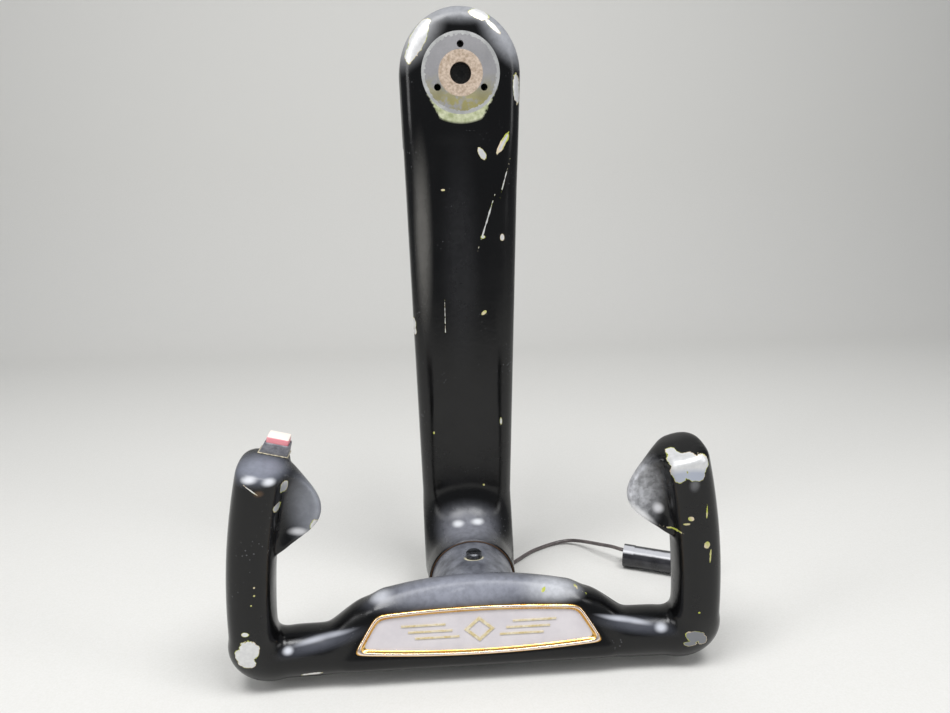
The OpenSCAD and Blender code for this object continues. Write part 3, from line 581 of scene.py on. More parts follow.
# Talk button and its housing, in mm in the frame of the left horn's top
talk = {
    "w": 14.2, "d": 11, "h": 7, "wall": 0.6, "fit": 0.3, "foot": 0.2, "pocket": 1.2, "pocketTop": 10,
    "pocketRound": 0.6, "round": 0.7, "capFrom": 3.2, "capFront": 3.3, "capBack": 4.3, "capRound": 0.9,
    "flange": 0.5, "flangeH": 0.7, "flangeRound": 0.4, "skirt": 2.2, "skirtH": 5.5, "skirtPower": 1.5,
    "y": -116, "shift": 4.3, "seat": 1.3, "seatFade": 2, "seatDepth": 4, "gap": 0.02,
}


def hornFrame(c, t):
    lean = Matrix.Rotation(hornLeanAt(c, c["hornTop"])[1], 4, "Y")
    top = moved(c["lean"] - c["hornX"], t["y"], c["axis"] + c["hornTop"])
    return top @ lean @ moved(t["shift"], 0, t["seat"])


def makeTalkButton(c, t):
    halfW, halfD = t["w"] / 2, t["d"] / 2
    housing = roundedBlock("talk_housing", (-halfW, -halfD, t["foot"]), (halfW, halfD, t["h"]), t["round"])
    inW, inD = halfW - t["wall"], halfD - t["wall"]
    pocket = roundedBlock("cutter", (-inW, -inD, t["pocket"]), (inW, inD, t["pocketTop"]), t["pocketRound"])
    cutAway(housing, pocket)
    outW, outD = halfW + t["flange"], halfD + t["flange"]
    flange = roundedBlock("talk_flange", (-outW, -outD, 0), (outW, outD, t["flangeH"]), t["flangeRound"])
    w, d = inW - t["fit"], inD - t["fit"]
    button = roundedBlock("talk_button_cap", (-w, -d, t["capFrom"]), (w, d, t["h"] + t["capFront"]),
                          t["capRound"], 4)
    # the cap's top rises to the back, and the housing spreads at its foot on the left
    for v in button.data.vertices:
        if v.co.z > t["h"] * mm:
            v.co.z += (t["capBack"] - t["capFront"]) * mm * (v.co.y / (d * mm) + 1) / 2
    for v in list(housing.data.vertices) + list(flange.data.vertices):
        if v.co.x < 0 and v.co.z < t["skirtH"] * mm:
            v.co.x -= t["skirt"] * mm * (1 - v.co.z / (t["skirtH"] * mm)) ** t["skirtPower"]
    for obj in (housing, flange, button):
        obj.data.transform(hornFrame(c, t))
        sharpen(obj, 50)
    return housing, flange, button


# The wheel casting itself, pressed flat under the badge and the talk switch
def castWheel(c):
    rings = wheelRings(c)
    points = np.concatenate(rings)
    points[:, 2] += c["axis"]
    faces = loftFaces(len(rings), c["around"]) + endFaces(len(rings), c["around"])
    obj = meshObject("wheel_casting_skin", points * mm, faces)
    shape = bmesh.new()
    shape.from_mesh(obj.data)
    bmesh.ops.recalc_face_normals(shape, faces=shape.faces)
    shape.to_mesh(obj.data)
    shape.free()
    even = obj.modifiers.new("even", "REMESH")
    even.mode = "VOXEL"
    even.voxel_size = c["voxel"] * mm
    soften(obj, c["softening"])
    return obj


def pointsOf(obj):
    points = np.empty(len(obj.data.vertices) * 3)
    obj.data.vertices.foreach_get("co", points)
    return points.reshape(-1, 3)


def inFrame(points, matrix):
    m = np.array(matrix)
    return points @ m[:3, :3].T + m[:3, 3]


def softenWhere(obj, name, share, rounds, least):
    group = obj.vertex_groups.new(name=name)
    for i in np.nonzero(share > least)[0]:
        group.add([int(i)], float(share[i]), "REPLACE")
    soften(obj, rounds, name)


def sweepCorners(obj, c):
    # the corners between horns and bar run together in a wide sweep
    local = pointsOf(obj) / mm - (0, 0, c["axis"])
    away = np.linalg.norm(np.abs(local * (1, 0, 0)) + local * (0, 1, 1) - c["sweepAt"], axis=1)
    softenWhere(obj, "sweep", 1 - away / c["sweepReach"], c["sweepSoftening"], 0)


def pressSeats(obj, c, t, b):
    points = pointsOf(obj)
    place = badgeFrame(c, b)
    local = inFrame(points, place.inverted()) / mm
    outside = outsideBadge(b, local[:, 0], local[:, 1])
    sunk = smoothStep(1 - (outside - b["sunkClear"]) / b["sunkFade"])
    sunk = sunk * smoothStep((local[:, 2] - b["sunkFrom"]) / b["sunkRun"])
    proud = smoothStep(1 - (outside - b["proudClear"]) / b["proudFade"])
    local[:, 2] -= local[:, 2] * np.where(local[:, 2] > 0, proud, sunk)
    points = inFrame(local * mm, place)
    place = hornFrame(c, t)
    local = inFrame(points, place.inverted()) / mm
    outside = np.maximum(np.abs(local[:, 0]) - t["w"] / 2, np.abs(local[:, 1]) - t["d"] / 2)
    share = smoothStep(1 - (outside - t["flange"]) / t["seatFade"]) * (np.abs(local[:, 2]) < t["seatDepth"])
    local[:, 2] -= (local[:, 2] + t["gap"]) * share
    obj.data.vertices.foreach_set("co", inFrame(local * mm, place).ravel())
    obj.data.update()


def softenBadgeSeat(obj, c, b):
    # the pressed seat runs out softly into the casting
    local = inFrame(pointsOf(obj), badgeFrame(c, b).inverted()) / mm
    outside = outsideBadge(b, local[:, 0], local[:, 1])
    share = smoothStep((outside - b["softFrom"]) / b["softRun"])
    share = share * smoothStep(1 - (outside - b["softTo"]) / b["softFade"])
    share = share * smoothStep((local[:, 2] - b["softBack"]) / b["softBackRun"])
    softenWhere(obj, "seat", share, c["seatSoftening"], 0.02)


def makeWheel(c, t, b):
    obj = castWheel(c)
    sweepCorners(obj, c)
    pressSeats(obj, c, t, b)
    softenBadgeSeat(obj, c, b)
    obj.data.shade_smooth()
    plateSeat = standUp(badgeOutline(b, b["seatInset"]), *b["seatSpan"], badgeFrame(c, b))
    cutAway(obj, rod(*c["pin"], axis="z", at=(0, c["pinY"], 0)), rod(*c["collar"], at=(0, 0, c["axis"])),
            plateSeat)
    sharpen(obj, 48)
    return obj


# Helpers for materials
def toLinear(hexColour):
    value = [int(hexColour[i:i + 2], 16) / 255 for i in (1, 3, 5)]
    return tuple(c / 12.92 if c <= 0.04045 else ((c + 0.055) / 1.055) ** 2.4 for c in value) + (1.0,)


def addNode(kind, sockets, **settings):
    # a shader node in the same tree as what feeds it
    tree = next(v.id_data for v in sockets.values() if isinstance(v, (bpy.types.Node, bpy.types.NodeSocket)))
    node = tree.nodes.new("ShaderNode" + kind)
    for name, value in settings.items():
        setattr(node, name, value)
    feed(node, sockets)
    return node


def feed(node, sockets):
    for socket, value in sockets.items():
        if isinstance(value, bpy.types.Node):
            value = value.outputs[0]
        if isinstance(value, bpy.types.NodeSocket):
            node.id_data.links.new(value, node.inputs[socket])
        else:
            node.inputs[socket].default_value = value


def startMaterial(name, **look):
    mat = bpy.data.materials.new(name)
    mat.use_nodes = True
    shader = mat.node_tree.nodes["Principled BSDF"]
    feed(shader, look)
    return mat, shader, mat.node_tree.nodes.new("ShaderNodeTexCoord").outputs["Object"]


def surface(shader, colour, rough, **others):
    feed(shader, {"Base Color": colour, "Roughness": rough, **others})


def maths(operation, *values):
    return addNode("Math", dict(enumerate(values)), operation=operation)


def times(*factors):
    product = factors[0]
    for factor in factors[1:]:
        product = maths("MULTIPLY", product, factor)
    return product


def noise(place, scale, detail, rough=0.5):
    return addNode("TexNoise", {"Vector": place, "Scale": scale, "Detail": detail, "Roughness": rough})


def ramp(value, start, stop, low=0.0, high=1.0, **settings):
    return addNode("MapRange", {0: value, 1: start, 2: stop, 3: low, 4: high}, **settings)


def blendColour(share, first, second):
    first, second = [toLinear(tone) if isinstance(tone, str) else tone for tone in (first, second)]
    return addNode("Mix", {0: share, 6: first, 7: second}, data_type="RGBA").outputs[2]


def blendValue(share, first, second):
    return addNode("Mix", {0: share, 2: first, 3: second})


def bumps(height, strength, distance):
    return addNode("Bump", {"Height": height, "Strength": strength, "Distance": distance})


def length(vector):
    return addNode("VectorMath", {0: vector}, operation="LENGTH").outputs["Value"]


# Spots on the enamel: ellipsoids in mm, turned in degrees about y; ragged is their edge as a share of size
def mark(at, size, turn=0, ragged=None):
    return {"at": at, "size": size, "turn": turn, "ragged": ragged}


# a toned spot on the enamel, used for rubbed places and stains and also for painted highlights and painted
# sheen
def rubAndHighlight(at, size, share, tone, even=0.7, turn=0):
    return {"at": at, "size": size, "turn": turn, "share": share, "tone": tone, "even": even}


def nearness(place, spot):
    # below 0 inside the spot's ellipsoid; grows to about 1 mm for each mm outside it
    size = sum(spot["size"]) / 3
    local = addNode("Mapping", {
        "Vector": place, "Location": Vector(spot["at"]) * mm, "Scale": Vector(spot["size"]) * mm,
        "Rotation": (0, math.radians(spot["turn"]), 0)}, vector_type="TEXTURE")
    return times(maths("SUBTRACT", length(local), 1), size), size


def nearestOf(place, wave, spots):
    nearest = None
    for spot in spots:
        depth, size = nearness(place, spot)
        rough = min(size * 0.25, 1.2) if spot["ragged"] is None else size * spot["ragged"]
        edge = maths("MULTIPLY_ADD", wave, rough, depth)
        nearest = edge if nearest is None else maths("MINIMUM", nearest, edge)
    return nearest


# On the arm: chips to the metal, spots of bare primer, rubbed places, and painted highlights and sheen
armChips = [
    mark((-25.5, -40, 20.5), (4.8, 8, 13), 24),
    mark((-30.5, -41, 11), (3.2, 7, 5.5), 10),
    mark((12, -38.5, 34.1), (5.6, 7, 3.6), 15),
    mark((20.3, -41, 26.8), (6, 4, 1.3), 43),
    mark((35, -39, -9), (2.3, 6, 8.7), -4),
    mark((26.3, -42, -41.5), (0.8, 3, 6), 30),
    mark((12.5, -43.5, -48.4), (1.7, 3, 3.7), -28),
    mark((23.8, -41, -226.4), (0.7, 2, 2.1)),
    mark((-34, -31.7, -157.6), (1.4, 5, 3.6)),
    mark((-33.5, -33, -163), (1, 4, 2)),
    mark((25.3, -41.4, -100.5), (1.1, 2, 1.8)),
    mark((27.3, -41.3, -63.3), (0.3, 2, 8), 16, 1.0),
    mark((15.6, -43.2, -88.8), (0.32, 2, 12), 18, 1.0),
    mark((-13.2, -43.5, -150.6), (0.2, 1.5, 8), ragged=0.9),
    mark((12.5, -43.5, -100.2), (1.2, 1.5, 0.8)),
]
armBare = [
    mark((26, -42, -41.8), (1.7, 3, 8.2), 30),
    mark((12.6, -43.5, -150), (1.1, 2, 2.2), 45),
    mark((-12.6, -43.5, -70.2), (1.2, 1.5, 0.6)),
    mark((-22.7, -41.6, -233.1), (0.6, 0.8, 0.9)),
    mark((4.1, -43.5, -233.5), (0.5, 0.8, 0.8)),
    mark((11.4, -42.5, -272.6), (0.8, 1, 0.8)),
]
# the first three are painted sheen and painted highlights on the boss and its sweep, the fifth a painted
# highlight down the left shoulder, the last three the painted highlight arc round the top; the fourth dulls
# the middle of the front
armRubsAndHighlights = [
    rubAndHighlight((-2, -63, -293), (27, 20, 15), 0.8, "#90929b", 0.75),
    rubAndHighlight((-8.2, -57.2, -294), (4.6, 4, 2.2), 0.85, "#eceef2", 0.95),
    rubAndHighlight((5.6, -56.8, -293.4), (5, 4, 1.9), 0.85, "#eceef2", 0.95),
    rubAndHighlight((-2, -43.5, -115), (12, 4, 75), 0.3, "#3a3a3d"),
    rubAndHighlight((-26.5, -41, -100), (6, 6, 58), 0.5, "#807e7a", 0.9),
    rubAndHighlight((-27, -39, 22), (12, 12, 24), 0.75, "#b4b5b8", 0.9, 40),
    rubAndHighlight((2, -38, 36), (26, 9, 8), 0.75, "#a9abb0", 0.8),
    rubAndHighlight((27, -39, 21), (10, 12, 22), 0.75, "#b2b4ba", 0.8, -40),
]
# The same on the wheel, and painted shade that darkens the bare metal at some places
wheelChips = [
    mark((-131.3, -146, -322.5), (5.4, 8, 6.8)),
    mark((-133.4, -145, -330.5), (5, 8, 4.3)),
    mark((-136.8, -145, -326.1), (2.6, 7, 5)),
    mark((-132.4, -147, -311.1), (1.8, 3, 1.1)),
    mark((127.8, -144.5, -331), (5.3, 7, 3.9)),
    mark((125.5, -143.5, -336.3), (3.4, 5, 1.7)),
    mark((133, -144, -333.6), (2.6, 6, 3.2)),
    mark((111.9, -140.5, -218.7), (5.2, 7, 4.6)),
    mark((118.1, -145.5, -219.6), (6.4, 9, 5.4)),
    mark((124.8, -146, -220.8), (4, 8, 5.4)),
    mark((112.4, -145.5, -226), (4.2, 6, 5.2)),
    mark((121, -147, -226.8), (5.4, 6, 3.4)),
    mark((111.3, -134, -217.4), (3, 5, 2)),
    mark((-106.6, -136.6, -227.9), (1.6, 5, 3.8), 15),
    mark((-110.8, -139, -238.4), (1.8, 5, 2.4), 30),
    mark((-93, -130, -254), (1.9, 4, 3.2), 25),
    mark((-98, -139.8, -343.9), (6, 4, 0.9), -6),
    mark((-123.4, -146.8, -223.8), (4.4, 2, 0.3), 40, 0.6),
]
wheelBare = [
    mark((39.7, -128.6, -304.3), (1.8, 2.5, 1), -38),
    mark((130.7, -146.9, -270.3), (1.8, 3, 2.2)),
    mark((133, -146.8, -277.1), (0.45, 2, 4.4), ragged=0.5),
    mark((120.3, -146.4, -253.5), (1.6, 2, 1.3)),
    mark((118.5, -145.5, -257.3), (2, 2, 0.6), -20),
    mark((111.2, -140, -263.5), (8, 5, 0.7), ragged=0.8),
    mark((129.2, -146.8, -250.1), (0.4, 2, 5), ragged=0.8),
    mark((128.6, -146.9, -313.5), (0.7, 1, 0.6)),
    mark((-125.1, -146.6, -282.5), (0.5, 1, 0.5)),
    mark((-125.5, -146.6, -287.4), (0.5, 1, 0.5)),
    mark((-127.6, -146.8, -293.3), (0.5, 1, 0.5)),
    mark((55, -126, -302), (9, 3, 0.6), 35, 0.9),
]
# a scratch on the case top, a brown stain and a grey rub on the horn tops are wear; the thumb rests and the
# left horn's top are rubbed dull under painted sheen; the rest are painted highlights and painted sheen in
# pale grey on the case top, the case's left end, the bar and its corners
wheelRubsAndHighlights = [
    rubAndHighlight((-10.7, -127.5, -302), (7, 3, 0.9), 0.7, "#dcdde1", 0.1, -12),
    rubAndHighlight((-8, -127, -301), (68, 15, 13), 0.9, "#9699a5", 0.8),
    rubAndHighlight((46, -127, -304), (20, 12, 8), 0.8, "#ced0d6", 0.8),
    rubAndHighlight((-59, -124.5, -304.8), (9, 7, 4), 0.75, "#cfd1d8", 0.9),
    rubAndHighlight((-92, -131, -243), (15, 14, 25), 0.9, "#9ea1aa", 0.85),
    rubAndHighlight((-101.5, -131, -258), (6, 8, 2.4), 0.85, "#e8e8ec", 0.95, 8),
    rubAndHighlight((93, -131, -243), (15, 14, 24), 0.95, "#d8d9de", 0.5),
    rubAndHighlight((95, -131, -256), (12, 8, 3), 1, "#f4f4f6", 0.9, 38),
    rubAndHighlight((106.3, -130.5, -253.5), (3.4, 4, 3.4), 0.8, "#ececf0", 1),
    rubAndHighlight((-118, -137, -216), (17, 18, 8), 0.9, "#8b8f9c", 0.85),
    rubAndHighlight((-123, -145.5, -219.5), (4.5, 4, 2.2), 0.9, "#e4e6ec", 1),
    rubAndHighlight((-112.5, -145, -221.4), (4, 4, 2.2), 0.9, "#e4e6ec", 1),
    rubAndHighlight((-118.3, -147, -227), (3, 4, 2), 0.6, "#6a5138"),
    rubAndHighlight((121.2, -147, -233), (3, 5, 4), 0.7, "#77787b"),
    rubAndHighlight((-95, -137, -326), (30, 6, 5), 0.45, "#6f727d", 0.9, -12),
    rubAndHighlight((-91, -136.4, -322.9), (19, 4, 1.5), 0.8, "#b9bcc6", 1, -12),
    rubAndHighlight((-111.3, -139, -328.2), (3.2, 4, 2.4), 0.9, "#dfe2ea", 1),
    rubAndHighlight((95, -137.5, -325.5), (28, 6, 5), 0.45, "#6f727d", 0.9, 10),
    rubAndHighlight((87, -136.4, -322.3), (17, 4, 1.5), 0.85, "#c9ccd6", 1, 12),
    rubAndHighlight((109, -138.5, -327.4), (4, 4.4, 2.8), 0.85, "#d8dbe4", 1),
]
# painted shade: darker, bluer tones on the bare metal of the right bar corner, the right horn's top patch and
# the left thumb rest
wheelMetalShade = [
    (mark((129, -144.5, -332), (12, 14, 10)), "#84868b"),
    (mark((119, -147, -230), (16, 10, 6.5)), "#b4bac8"),
    (mark((-104, -137, -236), (10, 10, 12)), "#c4c6ca"),
]

# Gloss enamel sprayed on a sand-cast aluminium part over yellow-green primer: deep black with long
# soft reflections, faint orange peel, dust, chips with a primer edge, spots of bare primer, duller grey
# places where hands have rubbed it, and painted highlights and painted sheen in pale grey on curves that face
# the lamps
enamel = {
    "black": "#070708", "gloss": (0.17, 0.32), "sheenAndRubRough": 0.42, "dustTone": "#8f9094", "dustShare": 0.3,
    "metal": ("#cfcfd0", "#f4f4f4"), "metalRough": 0.4, "metallic": 0.45,
    "primer": ("#b6bd4e", "#d9c9ae"), "primerRough": 0.6, "primerEdge": 0.38, "edge": 0.06,
    "stain": ("#99a077", "#cdd0b2"), "stainRough": 0.75, "grime": "#6e5542",
    "step": -0.8, "bump": 0.1, "bumpDepth": 0.0004,
}
# Where primer is bared below the hub plate, with sides that draw in and a straight foot; in m
hubPatch = {
    "draw": -0.52, "ragged": 0.004, "bow": -16, "side": (0.0297, 0.0285), "top": (-0.008, -0.012),
    "foot": (-0.0302, -0.0286), "front": (-0.04, -0.0405),
}
# Where brown grease lies on the boss rim, next to the collar; in m
bossGrime = {"axis": 0.325, "reach": (0.0285, 0.0281), "front": (-0.0735, -0.0745)}


def hubPrimer(place, c):
    axes = addNode("SeparateXYZ", {0: place}).outputs
    across = maths("ABSOLUTE", axes["X"])
    side = maths("MULTIPLY_ADD", axes["Z"], c["draw"], across)
    side = maths("MULTIPLY_ADD", noise(place, 500, 3), c["ragged"], side)
    bowed = maths("MULTIPLY_ADD", times(across, across), c["bow"], axes["Z"])
    return times(ramp(side, *c["side"]), ramp(axes["Z"], *c["top"]), ramp(bowed, *c["foot"]),
                 ramp(axes["Y"], *c["front"]))


def rimGrime(place, c):
    axes = addNode("SeparateXYZ", {0: place}).outputs
    flat = addNode("CombineXYZ", {0: axes["X"], 1: maths("ADD", axes["Z"], c["axis"])})
    return times(ramp(length(flat), *c["reach"]), ramp(axes["Y"], *c["front"]))


def armStains(place, wobble, colour, rough):
    colour = blendColour(rimGrime(place, bossGrime), colour, enamel["grime"])
    share = hubPrimer(place, hubPatch)
    stained = blendColour(ramp(wobble, 0.35, 0.65), *enamel["stain"])
    return blendColour(share, colour, stained), blendValue(share, rough, enamel["stainRough"])


def sheenAndRubbedEnamel(place, wobble, worn, dust):
    # colour and roughness of the enamel with its smears, dust, rubbed places, and painted highlights and
    # sheen
    motes = addNode("TexVoronoi", {"Vector": place, "Scale": 420, "Randomness": 1})
    threshold = ramp(noise(place, 45, 3), 0.48, 0.72, 0, 0.2 * dust)
    mote = maths("LESS_THAN", motes.outputs["Distance"], threshold)
    colour = blendColour(times(mote, enamel["dustShare"]), enamel["black"], enamel["dustTone"])
    rough = ramp(noise(place, 34, 5, 0.6), 0.35, 0.75, *enamel["gloss"])
    # the spots in worn hold rubbed places and stains and also painted highlights and painted sheen
    for spot in worn:
        depth, size = nearness(place, spot)
        fade = ramp(depth, size * 0.3, -size * 0.8, interpolation_type="SMOOTHSTEP")
        patchy = ramp(wobble, 0.36, 0.6, spot["even"])
        share = times(fade, patchy, spot["share"])
        colour = blendColour(share, colour, spot["tone"])
        rough = blendValue(share, rough, enamel["sheenAndRubRough"])
    return colour, rough


def bareMetal(place, metalShade):
    metal = blendColour(noise(place, 420, 3), *enamel["metal"])
    for spot, tone in metalShade:
        # painted shade darkens the bare metal at each listed place
        depth, size = nearness(place, spot)
        metal = blendColour(ramp(depth, size * 0.2, -size * 0.3), metal, tone)
    return metal


def blackEnamel(name, chips, bare=(), worn=(), stains=None, dust=1.0, metalShade=()):
    mat, shader, place = startMaterial(name, IOR=1.42)
    wobble = noise(place, 260, 4, 0.6)
    wave = ramp(wobble, 0.3, 0.7, -1)
    edge = enamel["edge"]
    chipped = nearestOf(place, wave, chips)
    metalShare = ramp(chipped, edge, -edge)
    green = maths("SUBTRACT", chipped, enamel["primerEdge"])
    if bare:
        green = maths("MINIMUM", green, nearestOf(place, wave, bare))
    primerShare = ramp(green, edge, -edge)
    colour, rough = sheenAndRubbedEnamel(place, wobble, worn, dust)
    primer = blendColour(ramp(noise(place, 150, 2), 0.42, 0.6), *enamel["primer"])
    colour = blendColour(primerShare, colour, primer)
    rough = blendValue(primerShare, rough, enamel["primerRough"])
    if stains:
        colour, rough = stains(place, wobble, colour, rough)
    colour = blendColour(metalShare, colour, bareMetal(place, metalShade))
    rough = blendValue(metalShare, rough, enamel["metalRough"])
    height = maths("MULTIPLY_ADD", primerShare, enamel["step"], noise(place, 300, 1))
    surface(shader, colour, rough, Metallic=times(metalShare, enamel["metallic"]),
            Normal=bumps(height, enamel["bump"], enamel["bumpDepth"]))
    return mat


# Steel faced off in a lathe: fine rings round the axis and a dull shine, oil stains below, bright rim
faced = {
    "tones": ("#bfbdc0", "#e4e2e3"), "stain": "#d3ca8c", "rim": "#f1f1ef", "rimFrom": (0.0238, 0.0241),  # m
    "rimRagged": 0.0035, "stainFrom": (0, -0.017), "ringSpacing": 0.5, "rough": (0.5, 0.34), "bump": 0.16,
}


def turnedSteel(name, c):
    mat, shader, place = startMaterial(name, Metallic=1.0)
    axes = addNode("SeparateXYZ", {0: place}).outputs
    reach = length(addNode("CombineXYZ", {0: axes["X"], 1: axes["Z"]}))
    rings = maths("SINE", times(reach, 2 * math.pi / (c["ringSpacing"] * mm)))
    cloud = noise(place, 90, 6, 0.65)
    metal = blendColour(ramp(cloud, 0.3, 0.7), *c["tones"])
    patchy = ramp(noise(place, 150, 5, 0.7), 0.36, 0.5)
    stained = blendColour(times(patchy, ramp(axes["Z"], *c["stainFrom"])), metal, c["stain"])
    outer = maths("MULTIPLY_ADD", noise(place, 600, 2), c["rimRagged"], reach)
    surface(shader, blendColour(ramp(outer, *c["rimFrom"]), stained, c["rim"]),
            ramp(cloud, 0.3, 0.7, *c["rough"]),
            Normal=bumps(maths("MULTIPLY_ADD", rings, 0.4, cloud), c["bump"], 0.0002))
    return mat


def mottled(name, light, dark, size, rough, metallic=0.0, bumpDepth=0.1):
    # a surface of two close tones in clouds of a given size in mm
    mat, shader, place = startMaterial(name, Metallic=metallic)
    cloud = noise(place, 1000 / size, 6, 0.6)
    surface(shader, blendColour(ramp(cloud, 0.35, 0.65), dark, light), ramp(cloud, 0.3, 0.7, *rough[::-1]),
            Normal=bumps(noise(place, 4000 / size, 3), bumpDepth, 0.0003))
    return mat


# Old paint on the collar, with a bright cream crescent in front of the screw; in m
collarWear = {
    "paint": ("#50525a", "#8d909a"), "bright": "#ece6c8", "at": (0, -0.0952, -0.298), "ragged": 0.0016,
    "reach": (0.0078, 0.007), "front": (0, -0.003), "top": (-0.006, -0.004), "rough": (0.4, 0.25),
}


def collarPaint(name, c):
    mat, shader, place = startMaterial(name, Metallic=0.3)
    cloud = noise(place, 110, 6, 0.6)
    paint = blendColour(ramp(cloud, 0.3, 0.7), *c["paint"])
    away = addNode("VectorMath", {0: place, 1: c["at"]}, operation="SUBTRACT")
    axes = addNode("SeparateXYZ", {0: away}).outputs
    flat = addNode("VectorMath", {0: away, 1: (1, 1, 0)}, operation="MULTIPLY")
    share = times(ramp(maths("MULTIPLY_ADD", cloud, c["ragged"], length(flat)), *c["reach"]),
                  ramp(axes["Y"], *c["front"]), ramp(axes["Z"], *c["top"]))
    surface(shader, blendColour(share, paint, c["bright"]), ramp(cloud, 0.3, 0.7, *c["rough"]))
    return mat


def paleAbove(name, light, dark, pale, face, height, fade, metallic, rough):
    # one colour below, a paler one where the surface stands more than a height in mm above a placed face; the
    # paler one is a painted highlight
    mat, shader, place = startMaterial(name, Metallic=metallic)
    cloud = noise(place, 160, 4)
    base = blendColour(ramp(cloud, 0.35, 0.65), dark, light)
    away = addNode("VectorMath", {0: place, 1: face.translation}, operation="SUBTRACT")
    above = addNode("VectorMath", {0: away, 1: face.col[2].xyz}, operation="DOT_PRODUCT").outputs["Value"]
    level = maths("MULTIPLY_ADD", cloud, fade * mm, above)
    share = ramp(level, (height - fade / 2) * mm, (height + fade / 2) * mm)
    surface(shader, blendColour(share, base, pale), ramp(cloud, 0.3, 0.7, *rough[::-1]))
    return mat


armEnamel = blackEnamel("gloss enamel on the cast arm", armChips, armBare, armRubsAndHighlights, armStains)
wheelEnamel = blackEnamel("gloss enamel on the cast wheel", wheelChips, wheelBare, wheelRubsAndHighlights, dust=0.9,
                          metalShade=wheelMetalShade)
plainEnamel = blackEnamel("gloss enamel on sheet", [mark((0, -12.5, -350), (2, 2, 1.5))])
plateSteel = turnedSteel("faced steel of the hub plate", faced)
# Steel left bare to the air: brown rust over its turned face
rustySteel = mottled("rusted steel of the bush", "#d3c1b0", "#a5917d", 1.6, (0.55, 0.75), 0.15, 0.6)
# Machined steel wet with oil: grey, with a soft shine
oiledSteel = mottled("machined steel under oil", "#8a8a88", "#666664", 6, (0.25, 0.42), 1.0)
# Blackened steel, its edges rubbed bright
darkSteel = mottled("blackened steel of the collar screw", "#6a6c71", "#2c2d30", 2.2, (0.2, 0.35), 0.7)
# Steel painted near black as the shade deep in the hub bore, with a wet shine
boreShadeSteel = mottled("steel painted black as the shade in the bore", "#100f0e", "#050505", 2, (0.15, 0.3), 0.0, 0.9)
# Zinc plated from a bath: pale grey with a trace of yellow
zincSteel = mottled("zinc-plated steel", "#b9b8b0", "#8f8e86", 4, (0.28, 0.45), 1.0)
# Sintered bronze, bored: warm brown-yellow with a dull shine
bronze = mottled("bored bronze", "#b08a52", "#8c6a3c", 5, (0.3, 0.45), 1.0)
wornCollar = collarPaint("worn paint on the collar", collarWear)
# Gold plating on stamped brass: deep yellow, with a painted highlight in pale pink along the crown of the
# frame
gilt = paleAbove("gilded stamped brass", "#f0c97c", "#d9a04a", "#fbeade", badgeFrame(wheel, badge), 1.84, 0.1,
             1.0, (0.2, 0.3))
# The same plating worn pale by polishing
paleGilt = mottled("worn gilding of the ornament", "#f4ead0", "#d8c48c", 3, (0.3, 0.4), 0.3, 0.05)
# Grey paint worn off an edge, with the cream undercoat showing
creamEdge = mottled("housing edge worn to a cream undercoat", "#d9cfb4", "#6d675a", 1.2, (0.5, 0.7))
# Silver lacquer under clear plastic: pearly grey with a trace of pink
pearl = mottled("pearl lacquer plate", "#d9d4d7", "#cdc8cc", 14, (0.3, 0.4), 0.0, 0.02)
# Turned brass kept bright by the mating plug
brass = mottled("bright brass contacts", "#c9a860", "#a98440", 3, (0.2, 0.35), 1.0)
# Moulded ABS, matt from the mould: dark grey, scuffed paler
darkPlastic = mottled("moulded dark plastic", "#96969c", "#6d6d74", 2.5, (0.45, 0.6), 0.0, 0.25)
# Moulded plastic: salmon red, with a painted highlight in pale pink on its top, smooth to the thumb
redPlastic = paleAbove("moulded red plastic", "#f7a9b0", "#f08f9a", "#f9ece2", hornFrame(wheel, talk), 10.2, 0.4,
                   0.0, (0.32, 0.42))
# Rubber moulded to the hole's shape: matt black
rubber = mottled("moulded black rubber", "#1a1a1b", "#101011", 3, (0.6, 0.75), 0.0, 0.2)
# Soft PVC drawn over the wires: brown-grey with a greasy shine
cordPlastic = mottled("extruded soft PVC", "#6c6463", "#504a4a", 6, (0.2, 0.3), 0.0, 0.05)
# Moulded plastic, near black, with a painted highlight in pale grey along its upper front
plugPlastic = paleAbove("moulded connector shell", "#37373b", "#222226", "#bfc0c5", plugFrame(plug), 8, 0.5, 0.0,
                    (0.18, 0.3))
# Phenolic resin pressed round a paper core: dark brown
phenolic = mottled("brown phenolic insert", "#5a3a22", "#3d2616", 3, (0.35, 0.5), 0.0, 0.15)

cadFinish = (
    (plainEnamel, "back_cover"),
    (armEnamel, "arm_casting"),
    (wheelEnamel, "wheel_casting"),
    (plateSteel, "hub_plate"),
    (rustySteel, "hub_front_bush"),
    (boreShadeSteel, "hub_sprocket"),
    (oiledSteel, "control_chain", "wheel_shaft", "wheel_sprocket", "sprocket_key"),
    (zincSteel, "cover_screws", "sprocket_washer", "sprocket_nut", "wheel_pin", "ptt_spring"),
    (darkSteel, "collar_screw"),
    (bronze, "hub_rear_bush", "column_bush", "shaft_front_bush", "shaft_rear_bush"),
    (wornCollar, "wheel_collar"),
    (gilt, "badge_bezel"),
    (pearl, "badge_plate"),
    (paleGilt, "badge_ornament"),
    (darkPlastic, "ptt_housing", "ptt_switch"),
    (redPlastic, "ptt_button"),
    (brass, "ptt_terminals", "plug_contacts"),
    (cordPlastic, "ptt_lead", "cable"),
    (rubber, "cable_grommet"),
    (plugPlastic, "plug_rear_cap", "plug_barrel"),
    (phenolic, "plug_insert"),
)
for finish, *names in cadFinish:
    for name in names:
        nodes[name].data.materials.clear()
        nodes[name].data.materials.append(finish)
print("materials made")

cord, cordLength = makeCable(cable)
fitPiece(cord, "arm", cordPlastic, "cable_pvc", "cable")
print("cable", round(cordLength, 1), "mm long")

armSkin = makeArm(arm)
fitPiece(armSkin, "arm", armEnamel, "black_enamel", "arm_casting")
print("arm casting", len(armSkin.data.polygons), "faces")

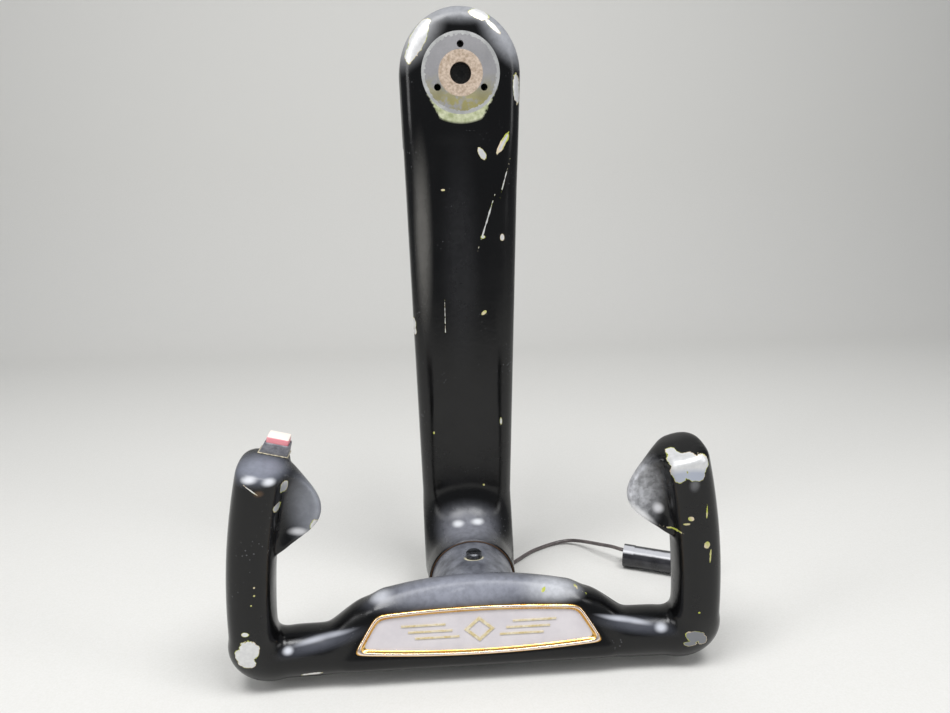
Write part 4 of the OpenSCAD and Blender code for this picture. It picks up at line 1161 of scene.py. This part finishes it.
wheelSkin = makeWheel(wheel, talk, badge)
fitPiece(wheelSkin, "wheel", wheelEnamel, "black_enamel", "wheel_casting")
print("wheel casting", len(wheelSkin.data.polygons), "faces")

fitPiece(makeBezel(wheel, badge), "wheel", gilt, "gilt", "badge_bezel")
print("badge frame made")

housing, flange, button = makeTalkButton(wheel, talk)
fitPiece(housing, "wheel", darkPlastic, "dark_plastic", "ptt_housing")
fitPiece(flange, "wheel", creamEdge, "dark_plastic")
fitPiece(button, "talk_button", redPlastic, "red_plastic", "ptt_button")
print("talk button made")

# Floor and backdrop in one sweep of paper, and the light; in m and W
stage = {
    "floor": -0.3562, "reach": 1.0, "back": 0.75, "bend": 0.35, "top": 1.6, "halfWidth": 2.2, "bendSteps": 16,
    "paper": ("#dfdeda", "#e4e3e0"), "rough": 0.9,
}
light = {
    "sky": "#e9edf2", "skyStrength": 0.28,
    "lamps": {  # place, target, size, power
        "overhead left": ((-0.34, -0.5, 1.0), (0, -0.05, -0.15), (0.56, 0.44), 9.5),
        "overhead right": ((0.34, -0.5, 1.0), (0, -0.05, -0.15), (0.56, 0.44), 9),
        "left soft box": ((-1.2, -0.75, 0.45), (0, -0.05, -0.2), (0.4, 0.9), 5),
        "right soft box": ((1.2, -0.7, 0.35), (0, -0.05, -0.2), (0.3, 0.8), 2.5),
    },
}


def paper(s):
    # Seamless paper: matt and even
    mat, shader, place = startMaterial("seamless paper")
    surface(shader, blendColour(ramp(noise(place, 900, 2), 0.3, 0.7), *s["paper"]), s["rough"])
    return mat


def makeStage(s):
    profile = [(-s["reach"], s["floor"])]
    for i in range(s["bendSteps"] + 1):
        a = math.pi / 2 * i / s["bendSteps"]
        profile.append((s["back"] + s["bend"] * math.sin(a), s["floor"] + s["bend"] * (1 - math.cos(a))))
    profile.append((s["back"] + s["bend"], s["top"]))
    points = [(x, y, z) for x in (-s["halfWidth"], s["halfWidth"]) for y, z in profile]
    count = len(profile)
    obj = meshObject("backdrop", points, [(i, count + i, count + i + 1, i + 1) for i in range(count - 1)])
    obj.data.materials.append(paper(s))


def addLamp(name, place, target, size, power):
    lamp = bpy.data.lights.new(name, "AREA")
    lamp.shape = "RECTANGLE"
    lamp.size, lamp.size_y = size
    lamp.energy = power
    obj = addObject(name, lamp)
    obj.location = place
    obj.rotation_euler = (Vector(target) - Vector(place)).to_track_quat("-Z", "Y").to_euler()


def makeLight(c):
    world = bpy.data.worlds.new("studio")
    bpy.context.scene.world = world
    world.use_nodes = True
    sky = world.node_tree.nodes["Background"]
    sky.inputs["Color"].default_value = toLinear(c["sky"])
    sky.inputs["Strength"].default_value = c["skyStrength"]
    for name, settings in c["lamps"].items():
        addLamp(name, *settings)


makeStage(stage)
makeLight(light)
bpy.context.scene.view_settings.view_transform = "Standard"
print("stage and light")
